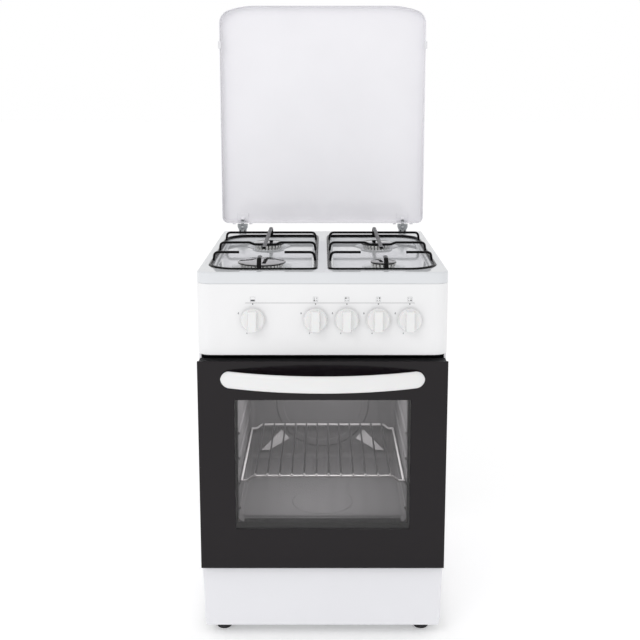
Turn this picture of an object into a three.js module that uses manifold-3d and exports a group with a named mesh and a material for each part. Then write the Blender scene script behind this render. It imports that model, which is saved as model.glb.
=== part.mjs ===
// A freestanding gas cooker, 500 mm wide: four burners under two wire pan supports, a hinged lid,
// a gas oven with a drop-down glass door, and five taps that push in and turn.
// Millimetres. X is to the right, Y to the back and Z up. The origin is on the floor under the middle.
import * as THREE from "three";
import { mergeVertices } from "three/addons/utils/BufferGeometryUtils.js";
import Module from "manifold-3d";

const wasm = await Module();
wasm.setup();

// The body
const HALF_WIDTH = 250;
const FRONT_Y = -250; // front face of the control panel
const BACK_Y = 310; // rear edges of the side panels
const HOB_Z = 780; // top of the hob's rim
const RIM_HEIGHT = 22.8;
const CORNER = 28; // front corners of the hob and the control panel, seen from above
const SHEET = 1.2; // sheet steel
const GAP = 0.3; // between pieces that touch
const FOOT_HEIGHT = 26;
const SHELL_FRONT = 31.5; // depth where the side panels start, behind the door

// The control panel and its taps, left to right: oven, front left, rear left, rear right, front right
const PANEL_BOTTOM = 612;
const TAP_Z = 685;
const TAPS = [
  { name: "oven", x: -138 },
  { name: "front_left", x: -14 },
  { name: "rear_left", x: 48 },
  { name: "rear_right", x: 110 },
  { name: "front_right", x: 172 },
];
const KNOB_BACK = 5; // the skirt's distance in front of the panel, more than the push of 4 mm
const SPINDLE_RADIUS = 4;

// The burners: radius of the cap and of the crown, and the place on the hob
const BURNER_X = 127;
const FRONT_BURNER = 124;
const REAR_BURNER = 392;
const BURNERS = [
  { name: "front_left", x: -BURNER_X, depth: FRONT_BURNER, cap: 50, crown: 43, top: 2 },
  { name: "rear_left", x: -BURNER_X, depth: REAR_BURNER, cap: 37.5, crown: 30, top: -1 },
  { name: "rear_right", x: BURNER_X, depth: REAR_BURNER, cap: 37.5, crown: 30, top: -1 },
  { name: "front_right", x: BURNER_X, depth: FRONT_BURNER, cap: 27, crown: 23.5, top: 2 },
];
const WELL_DROP = 12; // from the rim to the floor of a well
const DISH_DROP = 19; // from the rim to the dish round each burner
const LEDGE_DROP = 4; // from the rim to the ledge that carries a pan support's ring
const LEDGE_WIDTH = 9;

// The pan supports: the left one's ring, which the right one mirrors
const RING = { left: -232, right: -11, front: 29, rear: 481, outerCorner: 60, innerCorner: 15 };
const RING_RADIUS = 3.2;
const WIRE_RADIUS = 2.5;
const WIRE_Z = HOB_Z + 20;
const STUB_DEPTH = 121;
const MIDDLE_DEPTH = 250;
const REAR_WIRE_DEPTH = 400;

// The oven and its door
const DOOR_BOTTOM = 163;
const DOOR_TOP = 602.6;
const DOOR_HALF = 249.4;
const GLASS_FRONT = -12; // depth of the door's outer face
const GLASS = 4;
const WINDOW = { half: 178, bottom: 247, top: 525 };
const DOOR_BACK = 23.2;
const HINGE_Z = 172;
const HINGE_DEPTH = -2;
const HINGE_X = 215;
const MOUTH_HALF = 176;
const MOUTH_BOTTOM = 243;
const MOUTH_TOP = 545;
const OVEN_REAR = 400;
const RACK_Z = 333;
const HANDLE_Z = 567;

// The lid
const LID_BOTTOM = 803;
const LID_TOP = 1331;
const LID_FLANGE = 23;
const LID_PIVOT_Z = 792;
const LID_PIVOT_DEPTH = 545;
const LID_HINGE_X = 200;
const LID_BACK_DEPTH = 559;
const POST_HALF_DEPTH = 6.8; // from the pivot to a hinge post's flats, less than from the pivot to the lid

const WHITE_ENAMEL = { color: 0xeeeef0, roughness: 0.25, metalness: 0 };
const BLACK_ENAMEL = { color: 0x16161a, roughness: 0.2, metalness: 0 };
const GREY_ENAMEL = { color: 0x77777a, roughness: 0.4, metalness: 0 };
const WHITE_PLASTIC = { color: 0xf4f4f4, roughness: 0.45, metalness: 0 };
const ALUMINIUM = { color: 0xc9c9cb, roughness: 0.35, metalness: 1 };
const STEEL = { color: 0xb4b6b8, roughness: 0.35, metalness: 1 };
const BRASS = { color: 0xb59a56, roughness: 0.35, metalness: 1 };
const DARK_GLASS = { color: 0x1c1a1d, roughness: 0.05, metalness: 0 };
const PALE_RUBBER = { color: 0xdcdce0, roughness: 0.7, metalness: 0 };
const RUBBER = { color: 0x1b1b1d, roughness: 0.8, metalness: 0 };
const WOOL = { color: 0xc9c2a8, roughness: 1, metalness: 0 };

const root = new THREE.Group();

// Y of a place so far behind the control panel's front face.
function deep(depth) {
  return FRONT_Y + depth;
}

// A closed geometry as a solid that can be joined and cut.
function solid(geometry) {
  const bare = geometry.index ? geometry.toNonIndexed() : geometry.clone();
  bare.deleteAttribute("normal");
  bare.deleteAttribute("uv");
  const merged = mergeVertices(bare, 1e-3);
  return new wasm.Manifold(
    new wasm.Mesh({
      numProp: 3,
      vertProperties: new Float32Array(merged.attributes.position.array),
      triVerts: new Uint32Array(merged.index.array),
    }),
  );
}

function join(solids) {
  return solids.reduce((whole, piece) => whole.add(piece));
}

function cut(whole, tools) {
  return tools.reduce((left, tool) => left.subtract(tool), whole);
}

// Adds a finished solid to the cooker as one named mesh.
function add(name, made, finish) {
  const mesh = made.getMesh();
  const geometry = new THREE.BufferGeometry();
  geometry.setAttribute("position", new THREE.BufferAttribute(new Float32Array(mesh.vertProperties), 3));
  geometry.setIndex(new THREE.BufferAttribute(new Uint32Array(mesh.triVerts), 1));
  geometry.computeVertexNormals();
  const piece = new THREE.Mesh(geometry, new THREE.MeshStandardMaterial(finish));
  piece.name = name;
  root.add(piece);
}

// A box between two opposite corners, given in any order.
function box([x0, y0, z0], [x1, y1, z1]) {
  const geometry = new THREE.BoxGeometry(Math.abs(x1 - x0), Math.abs(y1 - y0), Math.abs(z1 - z0));
  geometry.translate((x0 + x1) / 2, (y0 + y1) / 2, (z0 + z1) / 2);
  return solid(geometry);
}

// A box on the right for side 1, or its mirror image on the left for side -1.
function sideBox(side, [x0, y0, z0], [x1, y1, z1]) {
  return box([side * x0, y0, z0], [side * x1, y1, z1]);
}

// A body of revolution about a vertical axis at x, y. The profile holds [radius, z] points.
function turned(x, y, profile, sides = 24) {
  const geometry = new THREE.LatheGeometry(profile.map(([r, z]) => new THREE.Vector2(r, z)), sides);
  geometry.rotateX(Math.PI / 2);
  geometry.translate(x, y, 0);
  return solid(geometry);
}

// A round bar between two points.
function bar(from, to, radius, sides = 16) {
  const start = new THREE.Vector3(...from);
  const along = new THREE.Vector3(...to).sub(start);
  const geometry = new THREE.CylinderGeometry(radius, radius, along.length(), sides);
  geometry.translate(0, along.length() / 2, 0);
  const turn = new THREE.Quaternion().setFromUnitVectors(new THREE.Vector3(0, 1, 0), along.normalize());
  geometry.applyQuaternion(turn);
  geometry.translate(start.x, start.y, start.z);
  return solid(geometry);
}

// An outline in plan, between two X values and two Y values, with round front and rear corners.
function planOutline(x0, x1, y0, y1, { frontLeft = 0, frontRight = 0, rearLeft = 0, rearRight = 0 }) {
  const outline = new THREE.Shape();
  const corner = (x, y, radius, from) => {
    if (radius > 0) outline.absarc(x, y, radius, from, from + Math.PI / 2, false);
    else outline.lineTo(x, y);
  };
  outline.moveTo(x0 + frontLeft, y0);
  outline.lineTo(x1 - frontRight, y0);
  corner(x1 - frontRight, y0 + frontRight, frontRight, -Math.PI / 2);
  outline.lineTo(x1, y1 - rearRight);
  corner(x1 - rearRight, y1 - rearRight, rearRight, 0);
  outline.lineTo(x0 + rearLeft, y1);
  corner(x0 + rearLeft, y1 - rearLeft, rearLeft, Math.PI / 2);
  outline.lineTo(x0, y0 + frontLeft);
  corner(x0 + frontLeft, y0 + frontLeft, frontLeft, Math.PI);
  return outline;
}

// An outline in plan, drawn up from one height to another.
function prism(outline, z0, z1, curveSegments = 4) {
  const geometry = new THREE.ExtrudeGeometry(outline, { depth: z1 - z0, bevelEnabled: false, curveSegments });
  geometry.translate(0, 0, z0);
  return solid(geometry);
}

// An outline in X and Z, drawn back from one Y to another.
function facing(outline, y0, y1, curveSegments = 5) {
  const geometry = new THREE.ExtrudeGeometry(outline, { depth: y1 - y0, bevelEnabled: false, curveSegments });
  geometry.rotateX(Math.PI / 2);
  geometry.translate(0, y1, 0);
  return solid(geometry);
}

// A route through points, which a wire follows from point to point.
class Route extends THREE.Curve {
  constructor(points) {
    super();
    this.points = points;
  }

  getPoint(t, target = new THREE.Vector3()) {
    const place = t * (this.points.length - 1);
    const start = Math.min(Math.floor(place), this.points.length - 2);
    return target.lerpVectors(this.points[start], this.points[start + 1], place - start);
  }

  getPointAt(u, target) {
    return this.getPoint(u, target);
  }
}

// Corner points of a wire, with each inner corner bent round a radius.
function bent(corners, radius, steps = 3) {
  const points = corners.map((corner) => new THREE.Vector3(...corner));
  const route = [points[0]];
  for (let i = 1; i < points.length - 1; i += 1) {
    const back = points[i - 1].clone().sub(points[i]).normalize();
    const on = points[i + 1].clone().sub(points[i]).normalize();
    const half = back.angleTo(on) / 2;
    const reach = radius / Math.tan(half);
    const centre = back.clone().add(on).normalize().multiplyScalar(radius / Math.sin(half)).add(points[i]);
    const start = back.clone().multiplyScalar(reach).add(points[i]).sub(centre);
    const end = on.clone().multiplyScalar(reach).add(points[i]).sub(centre);
    const sweep = start.angleTo(end);
    for (let step = 0; step <= steps; step += 1) {
      const part = (step / steps) * sweep;
      const place = start.clone().multiplyScalar(Math.sin(sweep - part) / Math.sin(sweep));
      place.addScaledVector(end, Math.sin(part) / Math.sin(sweep));
      route.push(place.add(centre));
    }
  }
  route.push(points[points.length - 1]);
  return route;
}

// A wire of a round section along a route of points.
function wire(points, radius, sides = 6) {
  const section = new THREE.Shape();
  for (let i = 0; i < sides; i += 1) {
    const angle = (2 * Math.PI * (i + 0.5)) / sides;
    const place = [radius * Math.cos(angle), radius * Math.sin(angle)];
    if (i === 0) section.moveTo(...place);
    else section.lineTo(...place);
  }
  section.closePath();
  return solid(
    new THREE.ExtrudeGeometry(section, { steps: points.length - 1, extrudePath: new Route(points) }),
  );
}

function sideName(side) {
  return side < 0 ? "left" : "right";
}

// ---- The body ----

const SHELL_TOP = HOB_Z - RIM_HEIGHT - GAP;
const FLANGE = 5;

function sidePanel(side) {
  const sheet = sideBox(
    side,
    [HALF_WIDTH - SHEET, deep(SHELL_FRONT), FOOT_HEIGHT],
    [HALF_WIDTH, BACK_Y, SHELL_TOP],
  );
  const flange = sideBox(
    side,
    [HALF_WIDTH - FLANGE, deep(SHELL_FRONT), FOOT_HEIGHT],
    [HALF_WIDTH, deep(SHELL_FRONT + SHEET), SHELL_TOP],
  );
  add(`side_panel_${sideName(side)}`, sheet.add(flange), WHITE_ENAMEL);
}

const BACK_PANEL_DEPTH = 545;
const INNER_HALF = HALF_WIDTH - SHEET - GAP;
const INLET = { x: 205, z: 735, radius: 8 };

function backPanel() {
  const y = deep(BACK_PANEL_DEPTH);
  const sheet = box([-INNER_HALF, y, FOOT_HEIGHT + 4], [INNER_HALF, y + SHEET, SHELL_TOP]);
  const cuts = [bar([INLET.x, y - 1, INLET.z], [INLET.x, y + 3, INLET.z], INLET.radius + 2)];
  const slotHalf = 45;
  const slotPitch = 14;
  for (let row = 0; row < 4; row += 1) {
    for (const x of [-120, 0]) {
      const z = 640 + row * slotPitch;
      cuts.push(box([x - slotHalf, y - 1, z], [x + slotHalf, y + 3, z + 6]));
    }
  }
  add("back_panel", cut(sheet, cuts), STEEL);
}

const BASE_FRONT = 36;
const BASE_REAR = 543;

// A tray with a raised rim and an air opening under the oven burner.
function baseTray() {
  const half = INNER_HALF - 1;
  const bottom = FOOT_HEIGHT + GAP;
  const rimHeight = 30;
  const block = box([-half, deep(BASE_FRONT), bottom], [half, deep(BASE_REAR), bottom + rimHeight]);
  const inside = box(
    [-half + 2, deep(BASE_FRONT + 2), bottom + 2],
    [half - 2, deep(BASE_REAR - 2), bottom + rimHeight + 1],
  );
  const opening = box([-120, deep(160), bottom - 1], [120, deep(360), bottom + 3]);
  add("base_tray", cut(block, [inside, opening]), STEEL);
}

const FOOT_X = 210;
const FOOT_RADIUS = 15.5;
const FOOT_DEPTHS = { front: 52, rear: 520 };

function foot(side, row) {
  const profile = [
    [0, 0],
    [FOOT_RADIUS, 0],
    [FOOT_RADIUS, 12],
    [9, 14],
    [9, FOOT_HEIGHT],
    [0, FOOT_HEIGHT],
  ];
  const made = turned(side * FOOT_X, deep(FOOT_DEPTHS[row]), profile, 16);
  add(`foot_${row}_${sideName(side)}`, made, RUBBER);
}

const PLINTH = { bottom: 26, top: 155.7, bottomHalf: 244, topHalf: 249, front: 5.5, back: 30 };

function plinthOutline(inset) {
  const outline = new THREE.Shape();
  outline.moveTo(-PLINTH.bottomHalf + inset, PLINTH.bottom + inset);
  outline.lineTo(-PLINTH.topHalf + inset, PLINTH.top - inset);
  outline.lineTo(PLINTH.topHalf - inset, PLINTH.top - inset);
  outline.lineTo(PLINTH.bottomHalf - inset, PLINTH.bottom + inset);
  outline.closePath();
  return outline;
}

function plinth() {
  const block = facing(plinthOutline(0), deep(PLINTH.front), deep(PLINTH.back));
  const inside = facing(plinthOutline(SHEET), deep(PLINTH.front + SHEET), deep(PLINTH.back + 1));
  add("plinth_panel", block.subtract(inside), WHITE_ENAMEL);
}

function panelOutline(inset, rear) {
  const round = { frontLeft: CORNER - inset, frontRight: CORNER - inset };
  const half = HALF_WIDTH - inset;
  return planOutline(-half, half, deep(inset), deep(rear), round);
}

function controlPanel() {
  const rear = SHELL_FRONT - GAP;
  const block = prism(panelOutline(0, rear), PANEL_BOTTOM, SHELL_TOP);
  const inside = prism(panelOutline(SHEET, rear + 1), PANEL_BOTTOM + SHEET, SHELL_TOP + 1);
  const holes = TAPS.map(({ x }) => bar([x, deep(-1), TAP_Z], [x, deep(3), TAP_Z], SPINDLE_RADIUS + 2, 10));
  add("control_panel", cut(block, [inside, ...holes]), WHITE_ENAMEL);
}

// ---- The hob ----

// The outline of the left well at a distance outside the ring of its pan support; the right one mirrors it.
function wellOutline(side, outside) {
  const outer = RING.outerCorner + outside;
  const inner = RING.innerCorner + outside;
  const [x0, x1] = [RING.left - outside, RING.right + outside];
  const [y0, y1] = [deep(RING.front - outside), deep(RING.rear + outside)];
  if (side < 0) {
    const corners = { frontLeft: outer, rearLeft: outer, frontRight: inner, rearRight: inner };
    return planOutline(x0, x1, y0, y1, corners);
  }
  const corners = { frontLeft: inner, rearLeft: inner, frontRight: outer, rearRight: outer };
  return planOutline(-x1, -x0, y0, y1, corners);
}

const DISH_RIM = 22; // from the crown's edge out to the rim of its dish
const RING_ROOM = 1.5; // between a pan support's ring and the edge of its well
const REAR_CORNER = 6;
const HOB_DEPTH = 560;
const HOLE_MARGIN = 2;

function dish({ x, depth, crown }, thickness, top) {
  const floor = HOB_Z - DISH_DROP - thickness;
  const out = thickness / 2;
  const profile = [
    [0, floor],
    [crown + 6 + out, floor],
    [crown + DISH_RIM + out, HOB_Z - WELL_DROP - thickness],
    [crown + DISH_RIM + out, top],
    [0, top],
  ];
  return turned(x, deep(depth), profile, 16);
}

function hobTop() {
  const round = (inset) => ({
    frontLeft: CORNER - inset,
    frontRight: CORNER - inset,
    rearLeft: REAR_CORNER - inset,
    rearRight: REAR_CORNER - inset,
  });
  const outline = (inset) =>
    planOutline(-HALF_WIDTH + inset, HALF_WIDTH - inset, deep(inset), deep(HOB_DEPTH - inset), round(inset));
  const bottom = HOB_Z - RIM_HEIGHT;
  const shell = prism(outline(0), bottom, HOB_Z).subtract(prism(outline(SHEET), bottom - 1, HOB_Z - SHEET));
  const tubs = [];
  const hollows = [];
  for (const side of [-1, 1]) {
    const step = HOB_Z - LEDGE_DROP;
    const floor = HOB_Z - WELL_DROP;
    tubs.push(prism(wellOutline(side, RING_ROOM + SHEET), step - SHEET, HOB_Z - SHEET / 2));
    tubs.push(prism(wellOutline(side, RING_ROOM + SHEET - LEDGE_WIDTH), floor - SHEET, step));
    hollows.push(prism(wellOutline(side, RING_ROOM), step, HOB_Z + 1));
    hollows.push(prism(wellOutline(side, RING_ROOM - LEDGE_WIDTH), floor, step + 1));
  }
  for (const burner of BURNERS) {
    const hole = burner.crown - HOLE_MARGIN;
    tubs.push(dish(burner, SHEET, HOB_Z - WELL_DROP - SHEET / 2));
    hollows.push(dish(burner, 0, HOB_Z - LEDGE_DROP));
    hollows.push(bar([burner.x, deep(burner.depth), 750], [burner.x, deep(burner.depth), HOB_Z], hole, 16));
  }
  add("hob_top", cut(join([shell, ...tubs]), hollows), WHITE_ENAMEL);
}

const CAP_THICKNESS = 5;
const CROWN_SLOTS = 12;

// An aluminium burner: a cup below the hob, and a slotted crown that the cap lies on.
function burner({ name, x, depth, crown, top }) {
  const seat = HOB_Z + top - CAP_THICKNESS - GAP;
  const floor = HOB_Z - DISH_DROP + GAP;
  const profile = [
    [0, 742],
    [crown - 8, 742],
    [crown - HOLE_MARGIN - 1, 750],
    [crown - HOLE_MARGIN - 1, floor],
    [crown, floor],
    [crown + 2, seat],
    [crown - 6, seat],
    [crown - 6, floor],
    [0, floor],
  ];
  const tools = [];
  for (let i = 0; i < CROWN_SLOTS; i += 1) {
    const slot = new THREE.BoxGeometry(16, 2.4, 10);
    slot.translate(crown - 1, 0, seat + 2.5);
    slot.rotateZ((2 * Math.PI * (i + 0.5)) / CROWN_SLOTS);
    slot.translate(x, deep(depth), 0);
    tools.push(solid(slot));
  }
  add(`burner_${name}`, cut(turned(x, deep(depth), profile, 16), tools), ALUMINIUM);
}

function burnerCap({ name, x, depth, crown, cap, top }) {
  const under = HOB_Z + top - CAP_THICKNESS;
  const profile = [
    [0, under - 3],
    [crown - 7, under - 3],
    [crown - 7, under],
    [cap - 1, under],
    [cap, under + 2],
    [cap - 4, under + 4],
    [0, under + CAP_THICKNESS],
  ];
  add(`burner_cap_${name}`, turned(x, deep(depth), profile, 20), BLACK_ENAMEL);
}

const LEG_SPREAD = 7; // from a top wire's end in to where its leg meets the ring

// One wire frame. Its corners are given for the left one and mirrored for the right one.
function panSupport(side) {
  const at = ([x, depth, z]) => [side < 0 ? x : -x, deep(depth), z];
  const ringZ = HOB_Z - LEDGE_DROP + GAP + RING_RADIUS;
  const left = RING.left + RING_RADIUS;
  const right = RING.right - RING_RADIUS;
  const front = RING.front + RING_RADIUS;
  const rear = RING.rear - RING_RADIUS;
  const middle = (left + right) / 2;
  const solids = [];
  const quarter = (cornerX, cornerDepth, radius, steps) => {
    const corners = [
      [middle + Math.sign(middle - cornerX), cornerDepth, ringZ],
      [cornerX, cornerDepth, ringZ],
      [cornerX, MIDDLE_DEPTH + Math.sign(MIDDLE_DEPTH - cornerDepth), ringZ],
    ];
    solids.push(wire(bent(corners.map(at), radius, steps), RING_RADIUS));
  };
  quarter(left, front, RING.outerCorner - RING_RADIUS, 5);
  quarter(left, rear, RING.outerCorner - RING_RADIUS, 5);
  quarter(right, front, RING.innerCorner - RING_RADIUS, 3);
  quarter(right, rear, RING.innerCorner - RING_RADIUS, 3);
  const leg = (corners, radius = 8) => solids.push(wire(bent(corners.map(at), radius, 2), WIRE_RADIUS));
  const outer = left + 1;
  const inner = right - 1;
  leg([[outer, STUB_DEPTH + LEG_SPREAD, ringZ], [outer + 4, STUB_DEPTH, WIRE_Z], [-176, STUB_DEPTH, WIRE_Z]]);
  leg([[inner, STUB_DEPTH + LEG_SPREAD, ringZ], [inner - 4, STUB_DEPTH, WIRE_Z], [-77, STUB_DEPTH, WIRE_Z]]);
  for (const depth of [MIDDLE_DEPTH, REAR_WIRE_DEPTH]) {
    const dip = depth === MIDDLE_DEPTH ? 2 * WIRE_RADIUS - 0.6 : 0;
    const halfDip = 25;
    const route = [
      [outer, depth, ringZ],
      [outer + 4, depth, WIRE_Z],
      [-BURNER_X - halfDip - 8, depth, WIRE_Z],
      [-BURNER_X - halfDip, depth, WIRE_Z - dip],
      [-BURNER_X + halfDip, depth, WIRE_Z - dip],
      [-BURNER_X + halfDip + 8, depth, WIRE_Z],
      [inner - 4, depth, WIRE_Z],
      [inner, depth, ringZ],
    ];
    leg(dip ? route : [route[0], route[1], route[6], route[7]], dip ? 4 : 8);
  }
  leg([
    [-BURNER_X + 2, rear + 1, ringZ],
    [-BURNER_X + 2, rear - 4, WIRE_Z + 1],
    [-BURNER_X + 2, 168, WIRE_Z + 1],
  ]);
  leg([[-BURNER_X, front - 1, ringZ], [-BURNER_X, front + 6, WIRE_Z], [-BURNER_X, 68, WIRE_Z]]);
  add(`pan_support_${sideName(side)}`, join(solids), BLACK_ENAMEL);
}

// ---- The taps ----

function tap({ name, x }) {
  const axis = (from, to, radius, sides) => bar([x, deep(from), TAP_Z], [x, deep(to), TAP_Z], radius, sides);
  const spindleFront = -KNOB_BACK - 9;
  const spindle = axis(spindleFront, 39.7, SPINDLE_RADIUS, 12);
  const flat = box([x - 5, deep(spindleFront - 1), TAP_Z + 2], [x + 5, deep(-KNOB_BACK - 1), TAP_Z + 6]);
  add(`spindle_${name}`, spindle.subtract(flat), BRASS);

  const skirt = axis(-KNOB_BACK, -KNOB_BACK - 5, 24, 20);
  const disc = axis(-KNOB_BACK - 4, -KNOB_BACK - 9, 22, 20);
  const grip = box([x - 9, deep(-KNOB_BACK - 8), TAP_Z - 21], [x + 9, deep(-KNOB_BACK - 20), TAP_Z + 21]);
  const bore = axis(-KNOB_BACK + 1, spindleFront - 4.5, SPINDLE_RADIUS + GAP, 12);
  add(`knob_${name}`, join([skirt, disc, grip]).subtract(bore), WHITE_PLASTIC);

  const body = box([x - 13, deep(40), TAP_Z - 13], [x + 13, deep(64), TAP_Z + 13]);
  const saddle = box([x - 9, deep(60), TAP_Z - 10], [x + 9, deep(MANIFOLD.depth - 9), TAP_Z + 14]);
  const outlet = bar([x, deep(52), TAP_Z + 10], [x, deep(52), TAP_Z + 30], 5, 10);
  add(`gas_valve_${name}`, join([body, saddle, outlet]), BRASS);
}

const MANIFOLD = { depth: 76, radius: 7.5, left: -185, right: 230, rear: 500 };

// The gas rail behind the taps, and the pipes that take it back along the right side to the inlet.
function gasManifold() {
  const corners = [
    [MANIFOLD.left, deep(MANIFOLD.depth), TAP_Z],
    [MANIFOLD.right, deep(MANIFOLD.depth), TAP_Z],
    [MANIFOLD.right, deep(MANIFOLD.rear), TAP_Z],
    [MANIFOLD.right, deep(MANIFOLD.rear), INLET.z],
    [INLET.x, deep(MANIFOLD.rear), INLET.z],
    [INLET.x, deep(BACK_PANEL_DEPTH - GAP), INLET.z],
  ];
  const runs = [];
  for (let i = 1; i < corners.length; i += 1) {
    const [from, to] = [corners[i - 1], corners[i]].map((corner) => new THREE.Vector3(...corner));
    const past = to.clone().sub(from).normalize().multiplyScalar(i < corners.length - 1 ? 6 : 0);
    runs.push(bar(from.toArray(), to.add(past).toArray(), MANIFOLD.radius - 0.4 * i, 8));
  }
  add("gas_manifold", join(runs), STEEL);
}

// The threaded inlet with its hexagon, behind the back panel.
function gasInlet() {
  const { x, z } = INLET;
  const neck = bar([x, deep(BACK_PANEL_DEPTH), z], [x, deep(550), z], INLET.radius, 12);
  const hexagon = bar([x, deep(547), z], [x, deep(553), z], 13, 6);
  const tail = bar([x, deep(552), z], [x, deep(559.5), z], 9.5, 16);
  const bore = bar([x, deep(548), z], [x, deep(561), z], 5.5, 12);
  add("gas_inlet", join([neck, hexagon, tail]).subtract(bore), BRASS);
}

// ---- The oven ----

const GUIDE_DEPTH = 6;
const GUIDE_TOP = RACK_Z - 10 - 3 - GAP;
const GUIDE_PITCH = 55;

function ovenCavity() {
  const front = deep(35.5);
  const rear = deep(OVEN_REAR);
  const block = box(
    [-MOUTH_HALF - SHEET, front, MOUTH_BOTTOM - SHEET],
    [MOUTH_HALF + SHEET, rear + SHEET, MOUTH_TOP + SHEET],
  );
  const inside = box([-MOUTH_HALF, front - 1, MOUTH_BOTTOM], [MOUTH_HALF, rear, MOUTH_TOP]);
  const slot = box([-120, deep(130), MOUTH_BOTTOM - 3], [120, deep(330), MOUTH_BOTTOM + 1]);
  const guides = [];
  for (const side of [-1, 1]) {
    for (const level of [-1, 0, 1, 2]) {
      const top = GUIDE_TOP + level * GUIDE_PITCH;
      guides.push(
        sideBox(side, [MOUTH_HALF - GUIDE_DEPTH, deep(62), top - 7], [MOUTH_HALF + 1, deep(388), top]),
      );
    }
  }
  const bossZ = 384;
  const boss = bar([0, rear - 4, bossZ], [0, rear + 1, bossZ], 112, 20);
  const hollow = bar([0, rear - 4 + SHEET, bossZ], [0, rear + 3, bossZ], 110.8, 20);
  const shell = cut(block, [inside, slot]);
  add("oven_cavity", join([shell, boss, ...guides]).subtract(hollow), GREY_ENAMEL);
}

function insulation() {
  const thick = 22;
  const clear = SHEET + 0.5;
  const half = MOUTH_HALF + clear;
  const block = box(
    [-half - thick, deep(60), 232],
    [half + thick, deep(OVEN_REAR + clear + thick), MOUTH_TOP + clear + thick],
  );
  const inside = box([-half, deep(59), 231], [half, deep(OVEN_REAR + clear), MOUTH_TOP + clear]);
  add("insulation_blanket", block.subtract(inside), WOOL);
}

const FRAME_FRONT = 32;
const FRAME_HALF = HALF_WIDTH - FLANGE - GAP;
const ARM_HALF = 4;

// The black front of the body behind the door, with the oven's mouth and two slots for the hinge arms.
function ovenFront() {
  const plate = box([-FRAME_HALF, deep(FRAME_FRONT), 158], [FRAME_HALF, deep(35.2), PANEL_BOTTOM - 1]);
  const mouth = box([-MOUTH_HALF, deep(30), MOUTH_BOTTOM], [MOUTH_HALF, deep(40), MOUTH_TOP]);
  const slots = [-1, 1].map((side) =>
    sideBox(side, [HINGE_X - 6, deep(30), HINGE_Z - 8], [HINGE_X + 6, deep(40), HINGE_Z + 8]),
  );
  add("oven_front", cut(plate, [mouth, ...slots]), BLACK_ENAMEL);
}

function ringPlate(half, bottom, top, width, depth0, depth1) {
  const outer = box([-half, deep(depth0), bottom], [half, deep(depth1), top]);
  const inner = box(
    [-half + width, deep(depth0 - 1), bottom + width],
    [half - width, deep(depth1 + 1), top - width],
  );
  return outer.subtract(inner);
}

function ovenFloor() {
  const bottom = MOUTH_BOTTOM + GAP;
  const plate = box([-168, deep(66), bottom], [168, deep(384), bottom + 1.5]);
  const disc = turned(0, deep(140), [[0, bottom + 1], [80, bottom + 1], [76, bottom + 3.5], [0, bottom + 3.5]]);
  const vents = [90, 360].flatMap((depth) =>
    [-90, 0, 90].map((x) => box([x - 25, deep(depth), bottom - 1], [x + 25, deep(depth + 8), bottom + 5])),
  );
  add("oven_floor_plate", cut(plate.add(disc), vents), GREY_ENAMEL);
}

// A tube burner shaped like a hairpin, under the oven's floor plate.
function ovenBurner() {
  const z = 218;
  const corners = [
    [-60, deep(300), z],
    [-60, deep(120), z],
    [60, deep(120), z],
    [60, deep(390), z],
  ];
  add("oven_burner", wire(bent(corners, 30, 4), 10, 8), STEEL);
}

// Wires run from front to back on a front bar and a rear bar, whose ends drop to the side rails.
function ovenRack() {
  const radius = 3;
  const front = 60;
  const rear = 380;
  const half = 171;
  const drop = 10;
  const pitch = 25.8;
  const count = 12;
  const frame = (depth) => [
    [-half, deep(depth), RACK_Z - drop],
    [-half + 12, deep(depth), RACK_Z - drop],
    [-half + 24, deep(depth), RACK_Z],
    [half - 24, deep(depth), RACK_Z],
    [half - 12, deep(depth), RACK_Z - drop],
    [half, deep(depth), RACK_Z - drop],
  ];
  const solids = [front, rear].map((depth) => wire(bent(frame(depth), 4, 1), radius));
  for (const side of [-1, 1]) {
    const rail = (depth) => new THREE.Vector3(side * (half - 0.4), deep(depth), RACK_Z - drop - 0.5);
    solids.push(wire([front - 2.7, rear + 2.7].map(rail), radius - 0.5));
  }
  for (let i = 0; i < count; i += 1) {
    const x = (i - (count - 1) / 2) * pitch;
    const along = (depth) => new THREE.Vector3(x, deep(depth), RACK_Z + 2.8);
    solids.push(wire([front - 2.2, rear + 2.2].map(along), 2, 5));
  }
  add("oven_rack", join(solids), STEEL);
}

// ---- The door ----

function doorGlass() {
  const glass = box(
    [-DOOR_HALF, deep(GLASS_FRONT), DOOR_BOTTOM],
    [DOOR_HALF, deep(GLASS_FRONT + GLASS), DOOR_TOP],
  );
  add("door_outer_glass", glass, DARK_GLASS);
}

function doorFrame() {
  const front = GLASS_FRONT + GLASS + GAP;
  const { half, bottom, top } = WINDOW;
  const outerHalf = 247;
  const [low, high] = [166, 600];
  const block = box([-outerHalf, deep(front), low], [outerHalf, deep(DOOR_BACK), high]);
  const hollow = box(
    [-outerHalf + SHEET, deep(front - 1), low + SHEET],
    [outerHalf - SHEET, deep(DOOR_BACK - SHEET), high - SHEET],
  );
  const tube = box([-half - SHEET, deep(front), bottom - SHEET], [half + SHEET, deep(DOOR_BACK), top + SHEET]);
  const window = box([-half, deep(front - 1), bottom], [half, deep(DOOR_BACK + 1), top]);
  const slots = [-1, 1].map((side) =>
    sideBox(side, [HINGE_X - 5.5, deep(front - 1), low - 1], [HINGE_X + 5.5, deep(DOOR_BACK + 1), HINGE_Z + 8]),
  );
  add("door_frame", cut(block.subtract(hollow).add(tube), [window, ...slots]), BLACK_ENAMEL);
}

function doorInnerGlass() {
  const front = DOOR_BACK + GAP;
  add("door_inner_glass", box([-225, deep(front), 205], [225, deep(front + GLASS), 575]), DARK_GLASS);
}

function doorSeal() {
  add("oven_door_seal", ringPlate(196, 223, 565, 9, DOOR_BACK + GLASS + 2 * GAP, FRAME_FRONT - GAP), RUBBER);
}

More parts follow.
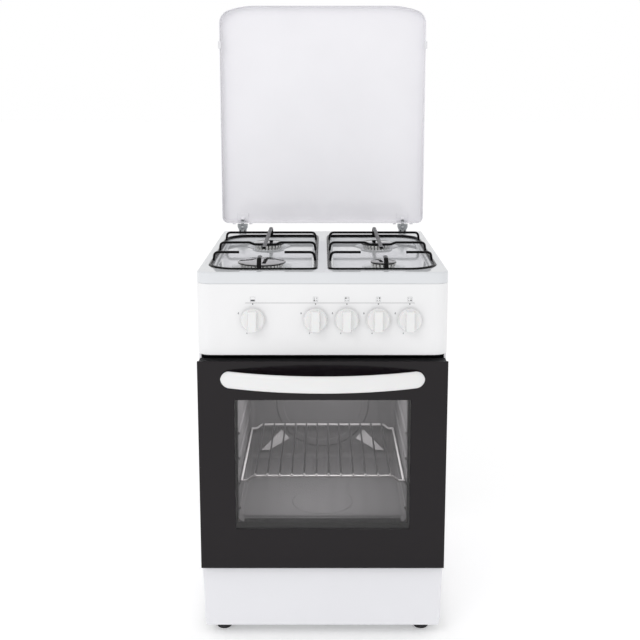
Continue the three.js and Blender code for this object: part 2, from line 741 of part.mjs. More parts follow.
// A bow that stands clear of the glass in the middle and meets it at both ends, which are round.
function doorHandle() {
  const half = 202;
  const rise = 36;
  const foot = deep(GLASS_FRONT - GAP);
  const outerEnd = deep(-24);
  const outline = new THREE.Shape();
  const steps = 14;
  const bow = (part, end, height) => end - height * (1 - (2 * part - 1) ** 2);
  outline.moveTo(-half + 3, foot);
  outline.lineTo(-half, foot - 4);
  for (let i = 0; i <= steps; i += 1) {
    const part = i / steps;
    outline.lineTo(-half + 4 + part * 2 * (half - 4), bow(part, outerEnd, rise));
  }
  outline.lineTo(half, foot - 4);
  outline.lineTo(half - 3, foot);
  const inner = 172;
  for (let i = steps; i >= 0; i -= 1) {
    const part = i / steps;
    outline.lineTo(-inner + part * 2 * inner, bow(part, foot, 33));
  }
  outline.closePath();
  const tall = 17;
  const front = new THREE.Shape();
  front.absarc(half - tall, HANDLE_Z, tall, -Math.PI / 2, Math.PI / 2, false);
  front.absarc(tall - half, HANDLE_Z, tall, Math.PI / 2, (3 * Math.PI) / 2, false);
  front.closePath();
  const bowed = prism(outline, HANDLE_Z - tall - 1, HANDLE_Z + tall + 1);
  add("door_handle", bowed.intersect(facing(front, deep(-70), deep(0), 6)), WHITE_PLASTIC);
}

// The door's half of a hinge: two cheeks on a web, with a pin through the arm.
function doorHinge(side) {
  const [front, back] = [GLASS_FRONT + GLASS + 2 * GAP, DOOR_BACK - SHEET - GAP];
  const cheek = (x) => sideBox(side, [x - 1, deep(front), 173 - 5], [x + 1, deep(back), 245]);
  const inner = HINGE_X - ARM_HALF - 2.5;
  const outer = HINGE_X + ARM_HALF + 2.5;
  const web = sideBox(side, [inner, deep(back - 2), HINGE_Z + 12], [outer, deep(back), 245]);
  const pin = bar(
    [side * inner, deep(HINGE_DEPTH), HINGE_Z],
    [side * outer, deep(HINGE_DEPTH), HINGE_Z],
    2.2,
    12,
  );
  add(`door_hinge_${sideName(side)}`, join([cheek(inner), cheek(outer), web, pin]), STEEL);
}

// The body's half: an arm that comes out through the front to the pin, on a bracket behind it.
function doorHingeArm(side) {
  const [x0, x1] = [HINGE_X - ARM_HALF, HINGE_X + ARM_HALF];
  const across = (from, to, radius, sides) =>
    bar([side * from, deep(HINGE_DEPTH), HINGE_Z], [side * to, deep(HINGE_DEPTH), HINGE_Z], radius, sides);
  const end = across(x0, x1, 4.6, 16);
  const arm = sideBox(side, [x0, deep(HINGE_DEPTH), HINGE_Z - 4.2], [x1, deep(90), HINGE_Z + 4.2]);
  const bracket = sideBox(side, [x0 - 8, deep(35.5), HINGE_Z - 30], [x1 + 8, deep(38.5), HINGE_Z + 30]);
  const hole = across(x0 - 1, x1 + 1, 2.6, 12);
  add(`door_hinge_arm_${sideName(side)}`, join([end, arm, bracket]).subtract(hole), STEEL);
}

// ---- The lid ----

// The lid's outline seen from the front, inset from its edge. Its top edge is straight in the middle and
// falls in a wide arc on each side, which runs into the round corner.
function lidOutline(inset) {
  const half = HALF_WIDTH - inset;
  const bottom = LID_BOTTOM + inset;
  const low = 15 - inset;
  const straight = 165;
  const wide = 190 - inset;
  const high = 33 - inset;
  const wideZ = LID_TOP - 190;
  const lean = Math.asin((HALF_WIDTH - 33 - straight) / (wide - high));
  const cornerX = half - high;
  const cornerZ = wideZ + (wide - high) * Math.cos(lean);
  const up = Math.PI / 2;
  const outline = new THREE.Shape();
  outline.moveTo(-half + low, bottom);
  outline.absarc(-half + low, bottom + low, low, -up, -Math.PI, true);
  outline.lineTo(-half, cornerZ);
  outline.absarc(-cornerX, cornerZ, high, Math.PI, up + lean, true);
  outline.absarc(-straight, wideZ, wide, up + lean, up, true);
  outline.absarc(straight, wideZ, wide, up, up - lean, true);
  outline.absarc(cornerX, cornerZ, high, up - lean, 0, true);
  outline.lineTo(half, bottom + low);
  outline.absarc(half - low, bottom + low, low, 0, -up, true);
  outline.closePath();
  return outline;
}

const LID_TIP = LID_BACK_DEPTH - LID_FLANGE;
const TONGUE_HALF = 3.5;

function lidPanel() {
  const block = facing(lidOutline(0), deep(LID_TIP), deep(LID_BACK_DEPTH), 4);
  const inside = facing(lidOutline(SHEET), deep(LID_TIP - 1), deep(LID_BACK_DEPTH - SHEET), 4);
  const slots = [-1, 1].map((side) =>
    sideBox(
      side,
      [LID_HINGE_X - TONGUE_HALF - 1, deep(540), LID_BOTTOM - 1],
      [LID_HINGE_X + TONGUE_HALF + 1, deep(550), LID_BOTTOM + 3],
    ),
  );
  add("lid_panel", cut(block, [inside, ...slots]), WHITE_ENAMEL);
}

// The lid's half of a hinge: a tongue with its pin, and the plate that holds the lid.
function lidHinge(side) {
  const [y0, y1] = [deep(LID_PIVOT_DEPTH - 3), deep(LID_PIVOT_DEPTH + 3)];
  const [x0, x1] = [LID_HINGE_X - TONGUE_HALF, LID_HINGE_X + TONGUE_HALF];
  const pivotY = deep(LID_PIVOT_DEPTH);
  const across = (from, to, radius, sides) =>
    bar([side * from, pivotY, LID_PIVOT_Z], [side * to, pivotY, LID_PIVOT_Z], radius, sides);
  const pivot = across(x0, x1, 6, 16);
  const pin = across(x0 - 6, x1 + 6, 2.4, 12);
  const tongue = sideBox(side, [x0, y0, LID_PIVOT_Z], [x1, y1, LID_BOTTOM + 12]);
  const back = deep(LID_BACK_DEPTH - SHEET - GAP);
  const step = sideBox(side, [x0, y0, LID_BOTTOM + 6], [x1, back, LID_BOTTOM + 12]);
  const plate = sideBox(side, [LID_HINGE_X - 14, back - 2, LID_BOTTOM + 3], [LID_HINGE_X + 14, back, LID_BOTTOM + 32]);
  add(`lid_hinge_${sideName(side)}`, join([pivot, pin, tongue, step, plate]), STEEL);
}

// The hob's half: a funnel-shaped post with a slot for the tongue, flat in front and behind so that
// the lid's flange swings past it.
function lidHingePost(side) {
  const base = HOB_Z + GAP;
  const [x, y] = [side * LID_HINGE_X, deep(LID_PIVOT_DEPTH)];
  const post = turned(x, y, [
    [0, base],
    [10, base],
    [13.5, base + 12],
    [13.5, base + 20],
    [0, base + 20],
  ], 12);
  const half = TONGUE_HALF + 0.4;
  const slot = sideBox(side, [LID_HINGE_X - half, y - 15, base + 5], [LID_HINGE_X + half, y + 15, base + 21]);
  const hole = bar([x - 15, y, LID_PIVOT_Z], [x + 15, y, LID_PIVOT_Z], 2.8, 12);
  const flats = [-1, 1].map((way) =>
    box([x - 15, y + way * POST_HALF_DEPTH, base - 1], [x + 15, y + way * 20, base + 21]),
  );
  add(`lid_hinge_post_${sideName(side)}`, cut(post, [slot, hole, ...flats]), STEEL);
}

// A rubber clip on the edge of the lid's flange, which lands on the hob's rim.
function lidBuffer(side) {
  const z = HOB_Z + 458;
  const half = 8.5;
  const outer = HALF_WIDTH + 3;
  const block = sideBox(side, [246, deep(LID_TIP - 2.6), z - half], [outer, deep(LID_TIP + 9), z + half]);
  const slot = sideBox(
    side,
    [HALF_WIDTH - SHEET - GAP, deep(LID_TIP - GAP), z - half - 1],
    [HALF_WIDTH + GAP, deep(LID_TIP + 10), z + half + 1],
  );
  add(`lid_buffer_${sideName(side)}`, block.subtract(slot), PALE_RUBBER);
}

for (const side of [-1, 1]) {
  sidePanel(side);
  foot(side, "front");
  foot(side, "rear");
  panSupport(side);
  doorHinge(side);
  doorHingeArm(side);
  lidHinge(side);
  lidHingePost(side);
  lidBuffer(side);
}
backPanel();
baseTray();
plinth();
controlPanel();
hobTop();
for (const each of BURNERS) {
  burner(each);
  burnerCap(each);
}
for (const each of TAPS) tap(each);
gasManifold();
gasInlet();
ovenCavity();
insulation();
ovenFront();
ovenFloor();
ovenBurner();
ovenRack();
doorGlass();
doorFrame();
doorInnerGlass();
doorSeal();
doorHandle();
lidPanel();

export default root;
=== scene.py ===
from math import asin, cos, pi, radians, sin

import bmesh
import bpy
from bpy.props import FloatProperty, IntProperty, PointerProperty, StringProperty
from mathutils import Matrix, Vector


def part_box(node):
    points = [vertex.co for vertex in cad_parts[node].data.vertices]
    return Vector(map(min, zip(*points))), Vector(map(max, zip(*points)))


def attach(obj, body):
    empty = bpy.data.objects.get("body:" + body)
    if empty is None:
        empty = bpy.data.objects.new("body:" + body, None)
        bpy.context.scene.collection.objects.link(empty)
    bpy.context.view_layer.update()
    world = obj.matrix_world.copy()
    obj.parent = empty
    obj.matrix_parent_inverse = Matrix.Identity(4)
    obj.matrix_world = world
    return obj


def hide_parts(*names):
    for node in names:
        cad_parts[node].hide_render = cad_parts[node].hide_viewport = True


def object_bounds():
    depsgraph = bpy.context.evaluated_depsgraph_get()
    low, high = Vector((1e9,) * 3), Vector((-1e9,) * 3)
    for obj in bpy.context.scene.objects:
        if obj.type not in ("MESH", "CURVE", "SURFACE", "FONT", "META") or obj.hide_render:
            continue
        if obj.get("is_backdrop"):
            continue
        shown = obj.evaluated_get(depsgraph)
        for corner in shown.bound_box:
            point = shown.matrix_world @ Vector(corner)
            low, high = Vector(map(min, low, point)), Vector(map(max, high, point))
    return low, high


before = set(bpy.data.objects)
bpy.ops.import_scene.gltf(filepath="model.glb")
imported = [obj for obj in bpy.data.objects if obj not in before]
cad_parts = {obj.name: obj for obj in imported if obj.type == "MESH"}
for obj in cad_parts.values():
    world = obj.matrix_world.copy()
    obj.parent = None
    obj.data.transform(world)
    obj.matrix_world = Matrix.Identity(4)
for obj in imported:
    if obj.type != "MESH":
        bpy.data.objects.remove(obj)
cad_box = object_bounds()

bl_info = {
    "name": "Narrow Gas Cooker",
    "version": (1, 0, 0),
    "blender": (4, 5, 0),
    "location": "View3D > Sidebar > Cooker",
    "description": "Dresses the frame of a freestanding gas cooker with its finished pieces",
    "category": "Add Mesh",
}

MM = 0.001
SIDES = (("left", -1), ("right", 1))
BURNERS = ("front_left", "rear_left", "rear_right", "front_right")
TAPS = ("oven", *BURNERS)


class CookerSizes(bpy.types.PropertyGroup):
    """Sizes of the finished surfaces that the frame doesn't give"""

    rim_round: FloatProperty(
        name="Rim round",
        description="Radius of the hob's upper edge",
        default=4.5 * MM,
        unit="LENGTH",
    )
    body_corner: FloatProperty(
        name="Body corner",
        description="Radius of the hob's and the panel's front corners, seen from above",
        default=28 * MM,
        unit="LENGTH",
    )
    sheet: FloatProperty(
        name="Sheet",
        description="Thickness of the enamelled sheet",
        default=1.1 * MM,
        unit="LENGTH",
    )
    wire_sides: IntProperty(
        name="Wire sides", description="Sides of a round wire", default=12, min=6
    )
    flame_ports: IntProperty(
        name="Flame ports", description="Ports round the largest burner", default=36, min=12
    )


class CookerColours(bpy.types.PropertyGroup):
    """Colours of the finishes, as sRGB hex codes"""

    lid: StringProperty(
        name="Lid", description="White enamel of the lid and sides", default="#F5F4F8"
    )
    panel: StringProperty(
        name="Panel", description="White paint of the control panel", default="#F0F0F1"
    )
    hob: StringProperty(name="Hob", description="Pale enamel of the hob", default="#DFE1E4")
    plinth: StringProperty(name="Plinth", description="Paint of the plinth", default="#EAEAEE")
    plastic: StringProperty(name="Plastic", description="Knobs and handle", default="#EAEAEA")
    oven: StringProperty(name="Oven", description="Enamel inside the oven", default="#757577")
    glass: StringProperty(
        name="Door", description="Printed border of the door's glass", default="#150F14"
    )


# ---- Small tools ----


def mm(*points):
    """Points given in millimetres, in metres."""
    return [tuple(value * MM for value in point) for point in points]


def linear(code):
    """An sRGB hex code as linear red, green, blue and alpha."""
    channels = [int(code[i : i + 2], 16) / 255 for i in (1, 3, 5)]
    return [c / 12.92 if c <= 0.04045 else ((c + 0.055) / 1.055) ** 2.4 for c in channels] + [1.0]


def add_node(tree, kind, inputs=None, **settings):
    """A node with its settings, and its inputs set to values or linked to sockets."""
    node = tree.nodes.new(kind)
    for name, value in settings.items():
        setattr(node, name, value)
    for name, value in (inputs or {}).items():
        if isinstance(value, bpy.types.NodeSocket):
            tree.links.new(value, node.inputs[name])
        else:
            node.inputs[name].default_value = value
    return node


def once(maker):
    """Makes each material a single time, whatever asks for it."""
    kept = {}

    def get(*words):
        if words not in kept:
            kept[words] = maker(*words)
        return kept[words]

    return get


def darker(code, share):
    """A hex code with each channel taken down by a share."""
    return "#" + "".join(f"{round(int(code[i : i + 2], 16) * (1 - share)):02X}" for i in (1, 3, 5))


# ---- Finishes ----


def finished(name, colour, tones, rough, bump=None, **sockets):
    """A principled material.

    The colour goes from the first tone to the second with a pattern. Roughness is a number, or a
    pattern with its least and greatest roughness. Bump is a pattern, a height in mm and a strength.
    A pattern is a noise's blob size in mm, its detail and, where the blobs are drawn out, the
    scale on each axis, or else a function that draws one.
    """
    made = bpy.data.materials.new(name)
    made.use_nodes = True
    tree = made.node_tree
    surface = tree.nodes["Principled BSDF"]
    place = add_node(tree, "ShaderNodeTexCoord").outputs["Object"]
    drawn = {}

    def draw(pattern):
        if pattern not in drawn and type(pattern) is tuple:
            size, detail, *drawn_out = pattern
            vector = place
            if drawn_out:
                inputs = {"Vector": place, "Scale": drawn_out[0]}
                vector = add_node(tree, "ShaderNodeMapping", inputs).outputs["Vector"]
            inputs = {"Vector": vector, "Scale": 0.5 / (size * MM), "Detail": detail}
            drawn[pattern] = add_node(tree, "ShaderNodeTexNoise", inputs).outputs["Fac"]
        elif pattern not in drawn:
            drawn[pattern] = pattern(tree, place)
        return drawn[pattern]

    first, second = tones
    mixed = {"Factor": draw(colour), "A": linear(first), "B": linear(second)}
    mix = add_node(tree, "ShaderNodeMix", mixed, data_type="RGBA")
    tree.links.new(mix.outputs["Result"], surface.inputs["Base Color"])
    if type(rough) is tuple:
        pattern, low, high = rough
        reach = {"Value": draw(pattern), "To Min": low, "To Max": high}
        spread = add_node(tree, "ShaderNodeMapRange", reach)
        tree.links.new(spread.outputs["Result"], surface.inputs["Roughness"])
    else:
        surface.inputs["Roughness"].default_value = rough
    if bump:
        pattern, height, strength = bump
        raised = {"Height": draw(pattern), "Distance": height * MM, "Strength": strength}
        normal = add_node(tree, "ShaderNodeBump", raised).outputs["Normal"]
        tree.links.new(normal, surface.inputs["Normal"])
    for socket, value in sockets.items():
        surface.inputs[socket.replace("_", " ")].default_value = value
    return made


def specks(tree, place):
    """Round specks on a pitch of 3.2 mm."""
    cells = add_node(tree, "ShaderNodeTexVoronoi", {"Vector": place, "Scale": 1 / (3.2 * MM)})
    reach = {"From Min": 0.1, "From Max": 0.22, "To Min": 1.0, "To Max": 0.0}
    reach["Value"] = cells.outputs["Distance"]
    return add_node(tree, "ShaderNodeMapRange", reach).outputs["Result"]


def crystals(tree, place):
    """Zinc crystals about 9 mm across, each of its own tone."""
    cells = add_node(tree, "ShaderNodeTexVoronoi", {"Vector": place, "Scale": 1 / (9 * MM)})
    parts = add_node(tree, "ShaderNodeSeparateColor", {"Color": cells.outputs["Color"]})
    return parts.outputs["Red"]


def tool_rings(tree, place):
    """Turning marks across the axis that runs fore and aft, coarser than they are, to show."""
    inputs = {"Vector": place, "Scale": 1 / (6 * MM)}
    return add_node(tree, "ShaderNodeTexWave", inputs, bands_direction="Y").outputs["Fac"]


def braid(tree, place):
    """The slanting bands of a braid."""
    inputs = {"Vector": place, "Scale": 1 / (12 * MM)}
    return add_node(tree, "ShaderNodeTexWave", inputs, bands_direction="DIAGONAL").outputs["Fac"]


@once
def vitreous_enamel(name, code, roughness):
    """Glass fused on sheet steel: glossy, with the faint waves of a fired coat."""
    return finished(
        name,
        (60, 3.0),
        (code, darker(code, 0.025)),
        ((9, 2.0), roughness * 0.8, roughness * 1.25),
        ((5, 1.0), 0.05, 0.35),
        IOR=1.52,
        Coat_Weight=0.35,
        Coat_Roughness=0.06,
    )


@once
def baked_paint(name, code):
    """Stoved paint on steel: satin, with a fine orange peel."""
    tones = (code, darker(code, 0.015))
    return finished(name, (80, 2.0), tones, ((3, 2.0), 0.3, 0.42), ((1.6, 1.0), 0.03, 0.4), IOR=1.5)


@once
def wire_enamel(name):
    """Black enamel dipped on steel wire: thicker in places, with dull burnt spots."""
    spots = (4, 4.0)
    return finished(
        name,
        spots,
        ("#030304", "#0A0A0B"),
        (spots, 0.12, 0.35),
        ((2.5, 2.0), 0.15, 0.5),
        Specular_IOR_Level=0.12,
    )


@once
def cap_enamel(name):
    """Thick black enamel on a pressed cap: a slightly rolling mirror."""
    clouds = (12, 2.0)
    return finished(
        name,
        clouds,
        ("#0A0A0C", "#121214"),
        (clouds, 0.04, 0.09),
        ((9, 1.0), 0.12, 0.4),
        IOR=1.6,
        Specular_IOR_Level=0.8,
        Coat_Weight=1.0,
        Coat_Roughness=0.03,
    )


@once
def speckled_enamel(name, code):
    """Grey oven enamel with fine pale specks: half matt from many firings."""
    tones = (code, darker(code, -0.25))
    return finished(
        name, specks, tones, ((14, 2.0), 0.55, 0.7), ((4, 1.0), 0.08, 0.5), Specular_IOR_Level=0.35
    )


@once
def cast_aluminium(name):
    """Die-cast aluminium, tumbled: pale and satin, with a cast skin and a warm tint of use."""
    tones = ("#F6F6F5", "#E2E0DC")
    return finished(
        name, (16, 3.0), tones, ((2, 2.0), 0.22, 0.4), ((0.9, 3.0), 0.06, 0.5), Metallic=1.0
    )


@once
def plated_wire(name, code):
    """Chromed rack wire, painted as a lit copy: a near-white, half-diffuse colour with a slightly
    cloudy sheen stands in for the lamp's light on the chrome.
    """
    clouds, tones = (5, 3.0), (code, darker(code, 0.06))
    return finished(name, clouds, tones, (clouds, 0.25, 0.45), (clouds, 0.02, 0.3), Metallic=0.25)


@once
def port_shade_metal(name):
    """The bottom of the flame ports: a dark brown colour that is painted shade, standing in for the
    shadow inside the slots.
    """
    shade_mottle = (5, 4.0)
    return finished(name, shade_mottle, ("#1C1A19", "#4A4643"), (shade_mottle, 0.5, 0.8))


@once
def galvanised_sheet(name):
    """Hot-dip zinc on sheet: crystals of slightly different greys."""
    tones = ("#B9BCBE", "#D3D5D6")
    return finished(
        name, crystals, tones, (crystals, 0.32, 0.5), ((1.5, 3.0), 0.03, 0.4), Metallic=1.0
    )


@once
def plated_steel(name, code, roughness):
    """Plated steel: the draw lines of the bar show faintly through the plating."""
    lines = (0.8, 3.0, (1.0, 0.08, 1.0))
    rough = (lines, roughness * 0.7, roughness * 1.4)
    tones = (code, darker(code, 0.12))
    return finished(name, lines, tones, rough, (lines, 0.02, 0.4), Metallic=1.0)


@once
def machined_brass(name):
    """Turned brass: tool rings and a warm, slightly dulled colour."""
    tones = ("#C9AE62", "#A98D48")
    return finished(
        name, (6, 3.0), tones, (tool_rings, 0.25, 0.38), (tool_rings, 0.02, 0.3), Metallic=1.0
    )


@once
def moulded_abs(name, code):
    """White ABS from a polished mould: smooth and glossy, a little light goes into it."""
    return finished(
        name,
        (30, 2.0),
        (code, darker(code, 0.015)),
        ((1.2, 2.0), 0.14, 0.22),
        ((0.8, 1.0), 0.01, 0.3),
        IOR=1.53,
        Subsurface_Weight=0.05,
        Subsurface_Scale=2 * MM,
    )


@once
def printed_glass(name, code):
    """Float glass with a black ceramic print fired on its back: a deep, even mirror."""
    tones = (code, darker(code, 0.3))
    rough, bump = ((40, 2.0), 0.02, 0.05), ((90, 0.0), 0.05, 0.2)
    return finished(name, (120, 2.0), tones, rough, bump, Specular_IOR_Level=0.28)


@once
def sheet_glass(name, tint, clear):
    """A thin pane that lets light straight through, tinted, and mirrors a little."""
    made = finished(name, (110, 1.0), (tint, darker(tint, 0.04)), 0.0)
    tree = made.node_tree
    colour = next(node for node in tree.nodes if node.type == "MIX").outputs["Result"]
    tree.nodes.remove(tree.nodes["Principled BSDF"])
    through = add_node(tree, "ShaderNodeBsdfTransparent", {"Color": colour})
    white = {"Color": linear("#FFFFFF"), "Roughness": 0.02}
    mirror = add_node(tree, "ShaderNodeBsdfGlossy", white)
    edge = add_node(tree, "ShaderNodeFresnel", {"IOR": clear})
    mix = add_node(tree, "ShaderNodeMixShader", {"Fac": edge.outputs["Fac"]})
    tree.links.new(through.outputs["BSDF"], mix.inputs[1])
    tree.links.new(mirror.outputs["BSDF"], mix.inputs[2])
    tree.links.new(mix.outputs["Shader"], tree.nodes["Material Output"].inputs["Surface"])
    return made


@once
def moulded_rubber(name, first, second):
    """Rubber: matt, with the fine grain of its mould."""
    skin = (1.5, 3.0)
    return finished(name, skin, (first, second), (skin, 0.55, 0.8), (skin, 0.08, 0.5))


@once
def braided_fibre(name):
    """A sleeve of braided glass fibre, grey from the oven."""
    return finished(name, braid, ("#5C5B58", "#8A8882"), 0.9, (braid, 0.4, 0.8))


@once
def mineral_wool(name):
    """A blanket of glass wool: soft, dull yellow, its fibres drawn out upwards."""
    fibres = (1.4, 5.0, (1.0, 1.0, 0.2))
    return finished(name, fibres, ("#C9BE94", "#E6DDB8"), 1.0, (fibres, 1.2, 0.8))


@once
def screen_ink(name, code):
    """Screen-printed ink: flat and slightly uneven at its edges."""
    return finished(name, (0.8, 2.0), (code, darker(code, 0.1)), 0.45)


@once
def studio_floor(name):
    """A plain pale floor, very slightly mottled."""
    glow = {"Emission_Color": linear("#FFFFFF"), "Emission_Strength": 0.2}
    return finished(name, (900, 2.0), ("#FCFCFC", "#F8F8F8"), 0.8, **glow)


def zinc_plate():
    return plated_steel("zinc_plated_steel", "#C3C6C8", 0.3)


def lid_enamel():
    return vitreous_enamel("lid_vitreous_enamel", colours().lid, 0.09)


def front_enamel():
    return vitreous_enamel("black_front_enamel", "#0C0C0E", 0.2)


# ---- Shaping ----


def of_kind(geom, kind):
    return [item for item in geom if isinstance(item, kind)]


def bevelled(bm, geom, radius, steps, affect="EDGES"):
    """Rounds edges, or the corners of a flat face, and gives the vertices made."""
    return bmesh.ops.bevel(
        bm, geom=geom, offset=radius, affect=affect, segments=steps, profile=0.5, material=-1
    )["verts"]


def edges_of(verts):
    return list(dict.fromkeys(edge for vert in verts for edge in vert.link_edges))


def drawn_out(bm, face, way):
    """Extrudes a face by a move, and gives the vertices made."""
    made = bmesh.ops.extrude_face_region(bm, geom=[face])["geom"]
    verts = of_kind(made, bmesh.types.BMVert)
    bmesh.ops.translate(bm, verts=verts, vec=way)
    return verts


def sliced(bm, place, way, **dropped):
    """Cuts all by a plane, drops what lies on one side and closes the cut."""
    geom = [*bm.verts, *bm.edges, *bm.faces]
    cut = bmesh.ops.bisect_plane(bm, geom=geom, dist=1e-6, plane_co=place, plane_no=way, **dropped)
    bmesh.ops.edgeloop_fill(bm, edges=of_kind(cut["geom_cut"], bmesh.types.BMEdge))


def soften(corners, radius, steps=4):
    """The points of a route with each inner corner rounded, in two or three dimensions."""
    points = [Vector(corner) for corner in corners]
    route = [points[0]]
    for before, here, after in zip(points, points[1:], points[2:]):
        back, on = (before - here), (after - here)
        reach = min(radius, 0.49 * back.length, 0.49 * on.length)
        start, end = here + back.normalized() * reach, here + on.normalized() * reach
        for step in range(steps + 1):
            part = step / steps
            first, second = start.lerp(here, part), here.lerp(end, part)
            route.append(first.lerp(second, part))
    route.append(points[-1])
    return route


def steps_along(route):
    """The small moves between the points of a route of (inwards, up)."""
    return [(b[0] - a[0], b[1] - a[1]) for a, b in zip(route, route[1:])]


def round_over(radius, steps=5):
    """Moves inwards and up that round a vertical wall over to a flat top."""
    turns = [pi / 2 * step / steps for step in range(steps + 1)]
    return steps_along([(radius * (1 - cos(turn)), radius * sin(turn)) for turn in turns])


def skirt_down(bm, face, depth):
    """A wall down from the rim of a face that looks up."""
    made = bmesh.ops.extrude_edge_only(bm, edges=list(face.edges))["geom"]
    tips = of_kind(made, bmesh.types.BMVert)
    bmesh.ops.translate(bm, verts=tips, vec=(0, 0, -depth))


def step_in(bm, face, moves):
    """Insets a face by each move in turn: inwards, then along its normal."""
    for inwards, up in moves:
        bmesh.ops.inset_region(
            bm, faces=[face], thickness=inwards, depth=up, use_even_offset=True, use_boundary=True
        )


def rounded_outline(bm, places, height, corners, steps=8):
    """A flat face that looks up, with a radius at each of its corners."""
    others = set(bm.faces)
    verts = [bm.verts.new((*place, height)) for place in places]
    bm.faces.new(verts)
    for vert, radius in zip(verts, corners):
        if radius > 0:
            bevelled(bm, [vert], radius, steps, "VERTICES")
    face = next(face for face in bm.faces if face not in others)
    face.normal_update()
    if face.normal.z < 0:
        face.normal_flip()
    return face


def rounded_plate(bm, low, high, height, corners, steps=8):
    """A rounded outline; its corners go front left, front right, back right, back left."""
    places = [(low[0], low[1]), (high[0], low[1]), (high[0], high[1]), (low[0], high[1])]
    return rounded_outline(bm, places, height, corners, steps)


def disc(bm, centre, radius, steps=48, turn=None):
    """A round face that looks up, or the way a turn takes it."""
    others = set(bm.faces)
    place = Matrix.Translation(centre) @ (turn or Matrix.Identity(4))
    bmesh.ops.create_circle(bm, cap_ends=True, segments=steps, radius=radius, matrix=place)
    face = next(face for face in bm.faces if face not in others)
    face.normal_update()
    way = (turn or Matrix.Identity(4)).to_3x3() @ Vector((0, 0, 1))
    if face.normal.dot(way) < 0:
        face.normal_flip()
    return face


def cut_out(bm, face, holes):
    """Fills a flat face again with holes left in it, where other faces lie."""
    normal = face.normal.copy()
    wanted = face.calc_area() - sum(hole.calc_area() for hole in holes)
    edges = list(face.edges)
    bmesh.ops.delete(bm, geom=[face], context="FACES_ONLY")
    for hole in holes:
        edges += list(hole.edges)
    made = bmesh.ops.triangle_fill(
        bm, edges=edges, use_beauty=True, use_dissolve=False, normal=normal
    )
    filled = of_kind(made["geom"], bmesh.types.BMFace)
    if abs(sum(each.calc_area() for each in filled) - wanted) > 0.01 * wanted:
        raise RuntimeError("a flat face was not filled round its holes")


def block(bm, low, high, edge=0.0, steps=3):
    """A box between two corners with rounded edges."""
    low, high = Vector(low), Vector(high)
    place = Matrix.Translation((low + high) / 2) @ Matrix.Diagonal((*(high - low), 1))
    made = bmesh.ops.create_cube(bm, size=1, matrix=place)["verts"]
    if edge:
        made = bevelled(bm, edges_of(made), edge, steps)
    return made


def turned(bm, profile, place, steps=48):
    """Spins a profile of (radius, height) about its own axis, then puts it in place."""
    others = set(bm.verts)
    verts = [bm.verts.new((radius, 0, height)) for radius, height in profile]
    edges = [bm.edges.new(pair) for pair in zip(verts, verts[1:])]
    bmesh.ops.spin(
        bm,
        geom=verts + edges,
        cent=(0, 0, 0),
        axis=(0, 0, 1),
        angle=2 * pi,
        steps=steps,
        use_merge=True,
    )
    made = [vert for vert in bm.verts if vert not in others]
    bmesh.ops.remove_doubles(bm, verts=made, dist=1e-6)
    made = [vert for vert in bm.verts if vert not in others]
    bmesh.ops.transform(bm, matrix=place, verts=made)
    return made


def at(x, y, z):
    return Matrix.Translation((x, y, z))


FORWARD = Matrix.Rotation(pi / 2, 4, "X")  # turns a profile's height towards the front


def wire(bm, route, radius, sides, closed=False):
    """A round wire along a route: a disc drawn on from point to point, turned with the route."""
    ways = [(b - a).normalized() for a, b in zip(route, route[1:])]
    turn = ways[0].to_track_quat("Z", "X").to_matrix().to_4x4()
    face = disc(bm, route[0], radius, sides, turn)
    first = face
    facing = ways[0]
    ends = []
    for i in range(1, len(route)):
        onward = ways[i] if i < len(ways) else (ways[0] if closed else ways[-1])
        bisector = (ways[i - 1] + onward).normalized()
        made = bmesh.ops.extrude_face_region(bm, geom=[face])["geom"]
        verts = of_kind(made, bmesh.types.BMVert)
        face = of_kind(made, bmesh.types.BMFace)[0]
        turn = facing.rotation_difference(bisector).to_matrix()
        bmesh.ops.rotate(bm, verts=verts, cent=route[i - 1], matrix=turn)
        bmesh.ops.translate(bm, verts=verts, vec=route[i] - route[i - 1])
        facing = bisector
        ends = [first, face]
    if closed:
        caps = [face for face in ends if face.is_valid]
        bmesh.ops.delete(bm, geom=caps, context="FACES_ONLY")


def add_piece(bm, name, body, finishes, replaced=(), sharp=38.0, wall=0.0):
    """Closes a mesh, smooths it up to its sharp edges and hands it to its body."""
    bmesh.ops.remove_doubles(bm, verts=bm.verts, dist=1e-6)
    bmesh.ops.recalc_face_normals(bm, faces=bm.faces)
    for face in bm.faces:
        face.smooth = True
    for edge in bm.edges:
        edge.smooth = len(edge.link_faces) == 2 and edge.calc_face_angle() < radians(sharp)
    mesh = bpy.data.meshes.new(name)
    bm.to_mesh(mesh)
    bm.free()
    for finish in finishes:
        mesh.materials.append(finish)
    piece = bpy.data.objects.new(name, mesh)
    bpy.context.scene.collection.objects.link(piece)
    if wall:
        solidify = piece.modifiers.new("wall", "SOLIDIFY")
        solidify.thickness = wall
        solidify.offset = -1
        solidify.use_even_offset = True
    weighted = piece.modifiers.new("weighted", "WEIGHTED_NORMAL")
    weighted.keep_sharp = True
    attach(piece, body)
    if replaced:
        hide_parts(*replaced)
    return piece


def dress(node, finish):
    """Gives a carried-over node its finish."""
    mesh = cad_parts[node].data
    mesh.materials.clear()
    mesh.materials.append(finish)


def body_front():
    """The plane of the body's front, behind the handle and the knobs"""
    return cad_box[0].y + 60 * MM


def sizes():
    return bpy.context.scene.cooker_sizes


def colours():
    return bpy.context.scene.cooker_colours


def middle(node):
    low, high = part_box(node)
    return (low + high) / 2


def faces_towards(bm, way, share=0.999):
    way = Vector(way)
    for face in bm.faces:
        face.normal_update()
    return [face for face in bm.faces if face.normal.dot(way) > share]


# ---- Pieces ----


